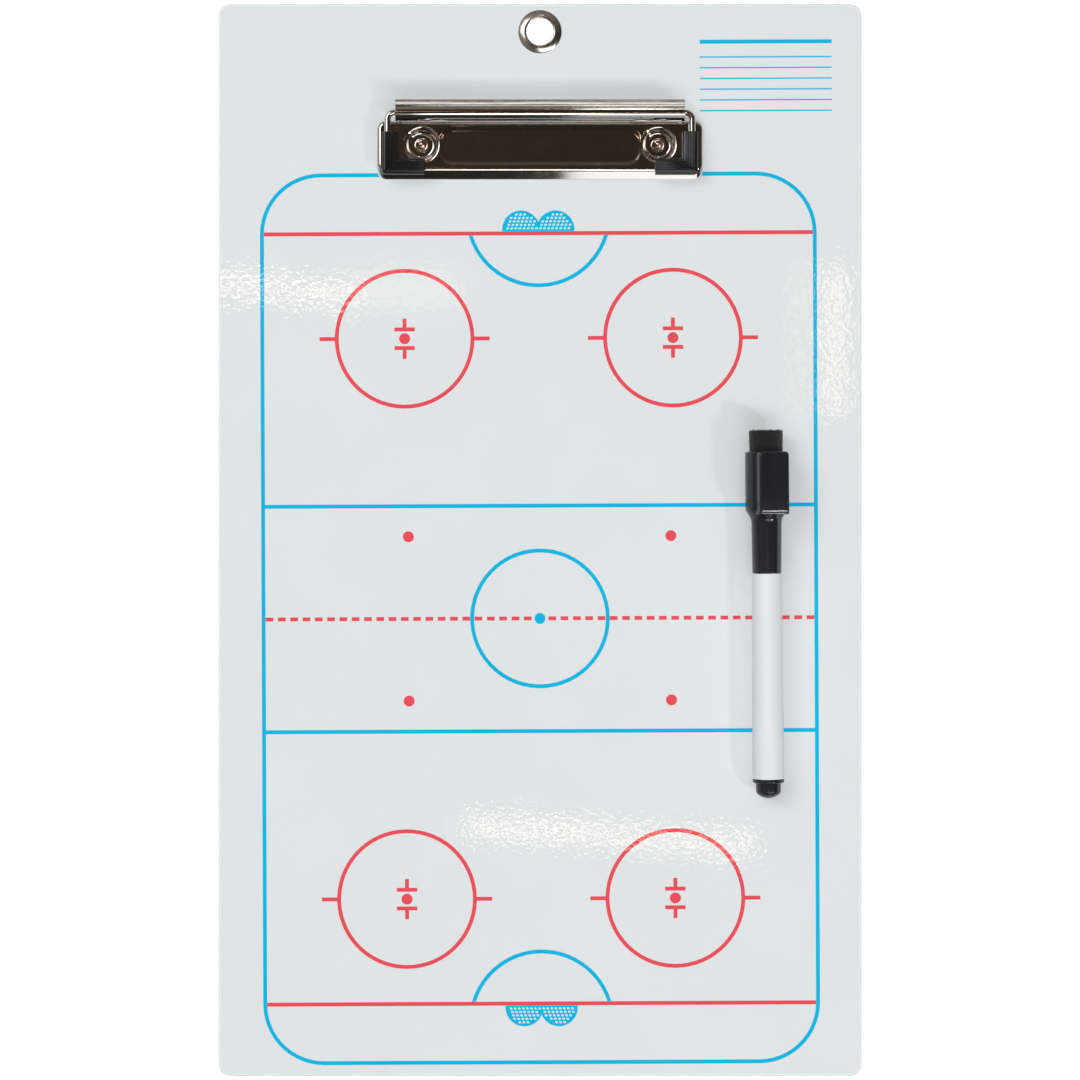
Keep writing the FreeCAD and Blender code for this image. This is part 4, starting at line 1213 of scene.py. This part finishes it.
    def cap(self) -> None:
        """Build the cap with its socket, bore and tongue."""
        rim, head = (self.socket, self.head_start), (self.head_radius, self.head_start)
        shoulder, waist = (self.head_radius, self.shoulder), (self.waist, self.taper_foot)
        mouth = (self.mouth, self.cap_end)
        profile = [
            (0.0, self.socket_floor), (self.socket, self.socket_floor), rim, head, shoulder, waist, mouth,
            (self.holder_bore, self.cap_end), (self.holder_bore, self.bore_step),
            (self.nib_bore, self.bore_step), (self.nib_bore, self.cap_floor), (0.0, self.cap_floor),
        ]
        rings = [(*head, 0.8), (*shoulder, 0.7), (*waist, 1.1), (*mouth, 0.25), (*rim, 0.2)]
        mesh = spun(profile, self.steps, rings, 5)
        part = bpy.data.meshes.new("tongue_part")
        tongue = self.tongue()
        tongue.to_mesh(part)
        tongue.free()
        mesh.from_mesh(part)
        bpy.data.meshes.remove(part)
        self.lay(mesh, "cap_body", Body.CAP, Slot.MARKER_BLACK, "marker_cap")

    def eraser(self) -> None:
        """Build the felt eraser: a lumpy plug that spreads at its tip, with loose fibres."""
        tip = self.felt_radius + self.felt_spread
        profile = [(0.0, 0.1)]
        profile += [(tip * ring / self.felt_rings, 0.05) for ring in range(1, self.felt_rings)]
        profile += [(tip - 0.25, 0.05), (tip, self.felt_edge)]
        for row in range(1, self.felt_rows + 1):
            along = row / self.felt_rows
            radius = tip - self.felt_spread * min(1.0, along * 1.15)
            profile.append((radius, self.felt_edge + (self.head_start - self.felt_edge) * along))
        profile += [(self.felt_radius, self.socket_floor - 0.1), (0.0, self.socket_floor - 0.1)]
        mesh = spun(profile, self.felt_steps)
        for vert in mesh.verts:
            if vert.co.z < (self.head_start - 0.3) * MM:
                lump = sum(noise.noise(vert.co * scale) * height for scale, height in self.felt_lumps)
                vert.co += vert.normal * lump * MM
        draw = random.Random(self.fibre_seed)
        for _ in range(self.fibre_count):
            self.add_fibre(mesh, draw, tip)
        self.lay(mesh, "eraser_felt", Body.CAP, Slot.FELT, "marker_eraser")

    def add_fibre(self, mesh: Mesh, draw: random.Random, tip: float) -> None:
        """Add one loose fibre to the felt.

        Args:
            mesh: The felt along Z.
            draw: Source of the seeded draws.
            tip: Radius of the felt's tip in millimetres.
        """
        angle = draw.uniform(0, FULL_TURN)
        out = Vector((math.cos(angle), math.sin(angle), 0))
        if draw.random() < self.fibre_side_share:
            height = draw.uniform(0.3, self.head_start - 0.2)
            root = out * (tip - 0.2 - 0.2 * height / self.head_start) + Vector((0, 0, height))
        else:
            root = out * tip * math.sqrt(draw.random()) + Vector((0, 0, 0.1))
            out = Vector((0, 0, -1))
        lean = Vector([draw.gauss(0, self.fibre_lean) for _ in range(3)])
        heading = (out + lean).normalized()
        length = draw.uniform(*self.fibre_length)
        place = Matrix.Translation((root + heading * length / 2) * MM)
        turn = heading.to_track_quat("Z", "Y").to_matrix().to_4x4()
        bmesh.ops.create_cone(
            mesh, cap_ends=True, cap_tris=False, segments=3, radius1=self.fibre_root * MM,
            radius2=self.fibre_end * MM, depth=length * MM, matrix=place @ turn,
        )

    def build(self) -> None:
        """Build every piece of the marker."""
        self.barrel()
        self.tail()
        self.writing_end()
        self.cap()
        self.eraser()


@dataclass(frozen=True)
class Lamp:
    """A soft box: its place, size and brightness, and where it points if not straight down."""

    name: str
    place: Triple
    size: Point
    radiance: float
    aim: Optional[Triple] = None
    colour: Triple = COOL_WHITE
    mirrored: bool = True
    shadows: bool = True
    turn: float = 0.0

    def hang(self) -> None:
        """Add the lamp to the scene."""
        data = bpy.data.lights.new(self.name, "AREA")
        data.shape = "RECTANGLE"
        data.size, data.size_y = self.size
        data.energy = self.radiance * math.pi * self.size[0] * self.size[1]
        data.color = self.colour
        data.use_shadow = self.shadows
        lamp = bpy.data.objects.new(self.name, data)
        lamp.location = self.place
        lamp.rotation_mode = "QUATERNION"
        aim = Vector(self.aim or (self.place[0], self.place[1], 0))
        facing = (aim - Vector(self.place)).to_track_quat("-Z", "Y")
        lamp.rotation_quaternion = Quaternion((0, 0, 1), math.radians(self.turn)) @ facing
        lamp.visible_camera = False
        lamp.visible_glossy = self.mirrored
        bpy.context.scene.collection.objects.link(lamp)
        LOG.info("hung %s", self.name)


@dataclass
class Studio:
    """Camera, floor, world and lamps."""

    board_top: float = 0.00385
    camera_height: float = 1.1
    lens: float = 98.4
    floor_size: float = 12.0
    floor_drop: float = 0.0003
    lamps: tuple[Lamp, ...] = (
        Lamp("fill_top", (0, 0.42, 2.2), (1.6, 1.6), 3.15, mirrored=False, shadows=False),
        Lamp("box_left", (-1.0, 0.75, 1.6), (1.0, 1.0), 3.8, (0, 0, 0)),
        Lamp("box_front", (0.55, -1.05, 1.6), (1.0, 0.6), 3.4, (0.55, 0, 0)),
        Lamp("box_near", (-0.4, -0.85, 1.7), (0.6, 0.4), 3.0, (-0.4, 0, 0), mirrored=False),
        Lamp("strip_rear", (0.09, 1.2, 1.6), (0.09, 0.15), 10.0, (0.09, 0, 0)),
        Lamp("strip_front", (-0.03, -0.82, 1.6), (0.18, 0.5), 3.4, (-0.03, 0, 0)),
        Lamp("spark_right", (1.40, -1.09, 1.45), (0.2, 0.2), 70.0, (0.08, 0.01, 0)),
        Lamp("card_right", (0.27, -0.87, 0.4), (0.5, 0.15), 1.6, (0.27, 0.13, 0)),
        Lamp("glare_left", (-0.228, 0.205, 1.3), (0.16, 0.011), 7.4, colour=WARM_WHITE, turn=-4.5),
        Lamp("glare_left_far", (-0.112, 0.203, 1.3), (0.09, 0.03), 2.0, colour=WARM_WHITE),
        Lamp("glare_right", (0.240, 0.162, 1.3), (0.014, 0.122), 5.6, colour=WARM_WHITE),
        Lamp("glare_right_far", (0.211, 0.162, 1.3), (0.009, 0.122), 3.0, colour=WARM_WHITE),
        Lamp("glare_front", (0.057, -0.240, 1.3), (0.238, 0.012), 6.4, colour=WARM_WHITE, turn=-4.0),
    )

    def camera(self) -> None:
        """Set the camera straight above the middle of the board."""
        data = bpy.data.cameras.new("camera")
        data.sensor_width = 36.0
        data.lens = self.lens
        camera = bpy.data.objects.new("camera", data)
        camera.location = (0.0, 0.0, self.board_top + self.camera_height)
        bpy.context.scene.collection.objects.link(camera)
        bpy.context.scene.camera = camera

    def floor(self) -> None:
        """Lay the white floor, which glows far out and keeps the shadow near the board."""
        mesh = bmesh.new()
        bmesh.ops.create_grid(mesh, x_segments=1, y_segments=1, size=self.floor_size / 2)
        moved(mesh, Matrix.Translation((0, 0, -self.floor_drop)))
        data = bpy.data.meshes.new("floor")
        mesh.to_mesh(data)
        mesh.free()
        data.materials.append(self.floor_material())
        floor = bpy.data.objects.new("floor", data)
        bpy.context.scene.collection.objects.link(floor)

    def floor_material(self) -> Material:
        """Make the floor's material.

        Returns:
            A white diffuse surface with a glow that only seen and mirrored rays meet.
        """
        graph = ShaderGraph(bpy.data.materials.new("floor_white"))
        away = graph.add("ShaderNodeVectorMath", {0: graph.place()}, operation="LENGTH")
        strength = graph.remap(away.outputs["Value"], (0.35, 1.1), (0.5, 1.0))
        path = graph.add("ShaderNodeLightPath", {}).outputs
        shown = path["Is Camera Ray"]
        for ray in ("Is Glossy Ray", "Is Transmission Ray"):
            shown = graph.add("ShaderNodeMath", {0: shown, 1: path[ray]}, operation="MAXIMUM").outputs[0]
        held = graph.add("ShaderNodeMath", {0: strength, 1: shown}, operation="MULTIPLY").outputs[0]
        glow = graph.add("ShaderNodeEmission", {"Color": (1, 1, 1, 1), "Strength": held})
        paint = graph.add("ShaderNodeBsdfDiffuse", {"Color": (0.88, 0.88, 0.88, 1)})
        both = graph.add("ShaderNodeAddShader", {0: paint.outputs[0], 1: glow.outputs[0]})
        return graph.close(both.outputs[0], "ShaderNodeOutputMaterial")

    def world(self) -> None:
        """Give the room: pale low down, dim and warm overhead, and darker at the front right."""
        graph = ShaderGraph(bpy.data.worlds.new("room"))
        where = graph.add("ShaderNodeTexCoord", {}).outputs["Generated"]
        height = graph.add("ShaderNodeSeparateXYZ", {0: where}).outputs["Z"]
        colour = graph.ramp(height, (
            (0.22, (0.3, 0.31, 0.32)), (0.34, (0.16, 0.16, 0.16)), (0.7, (0.28, 0.25, 0.215)),
            (0.9, (0.1, 0.077, 0.06)), (0.98, (0.045, 0.034, 0.026)),
        ))
        dark_side = (0.75, -0.65, 0.0)
        facing = graph.add("ShaderNodeVectorMath", {0: where, 1: dark_side}, operation="DOT_PRODUCT")
        strength = graph.remap(facing.outputs["Value"], (-0.2, 0.5), (1.0, 0.15))
        room = graph.add("ShaderNodeBackground", {"Color": colour, "Strength": strength})
        bpy.context.scene.world = graph.close(room.outputs[0], "ShaderNodeOutputWorld")

    def build(self) -> None:
        """Set up the whole studio."""
        bpy.context.scene.view_settings.view_transform = "Standard"
        self.camera()
        self.floor()
        self.world()
        for lamp in self.lamps:
            lamp.hang()


def main() -> None:
    """Build the studio and every piece."""
    logging.basicConfig(level=logging.INFO, format="%(name)s: %(message)s")
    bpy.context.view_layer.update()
    bench = Bench()
    Studio().build()
    BoardSheet(bench).build()
    HangingEyelet(bench).build()
    ClipBase(bench).build()
    ClipJaw(bench).build()
    MarkerPen(bench).build()


if __name__ == "__main__":
    main()
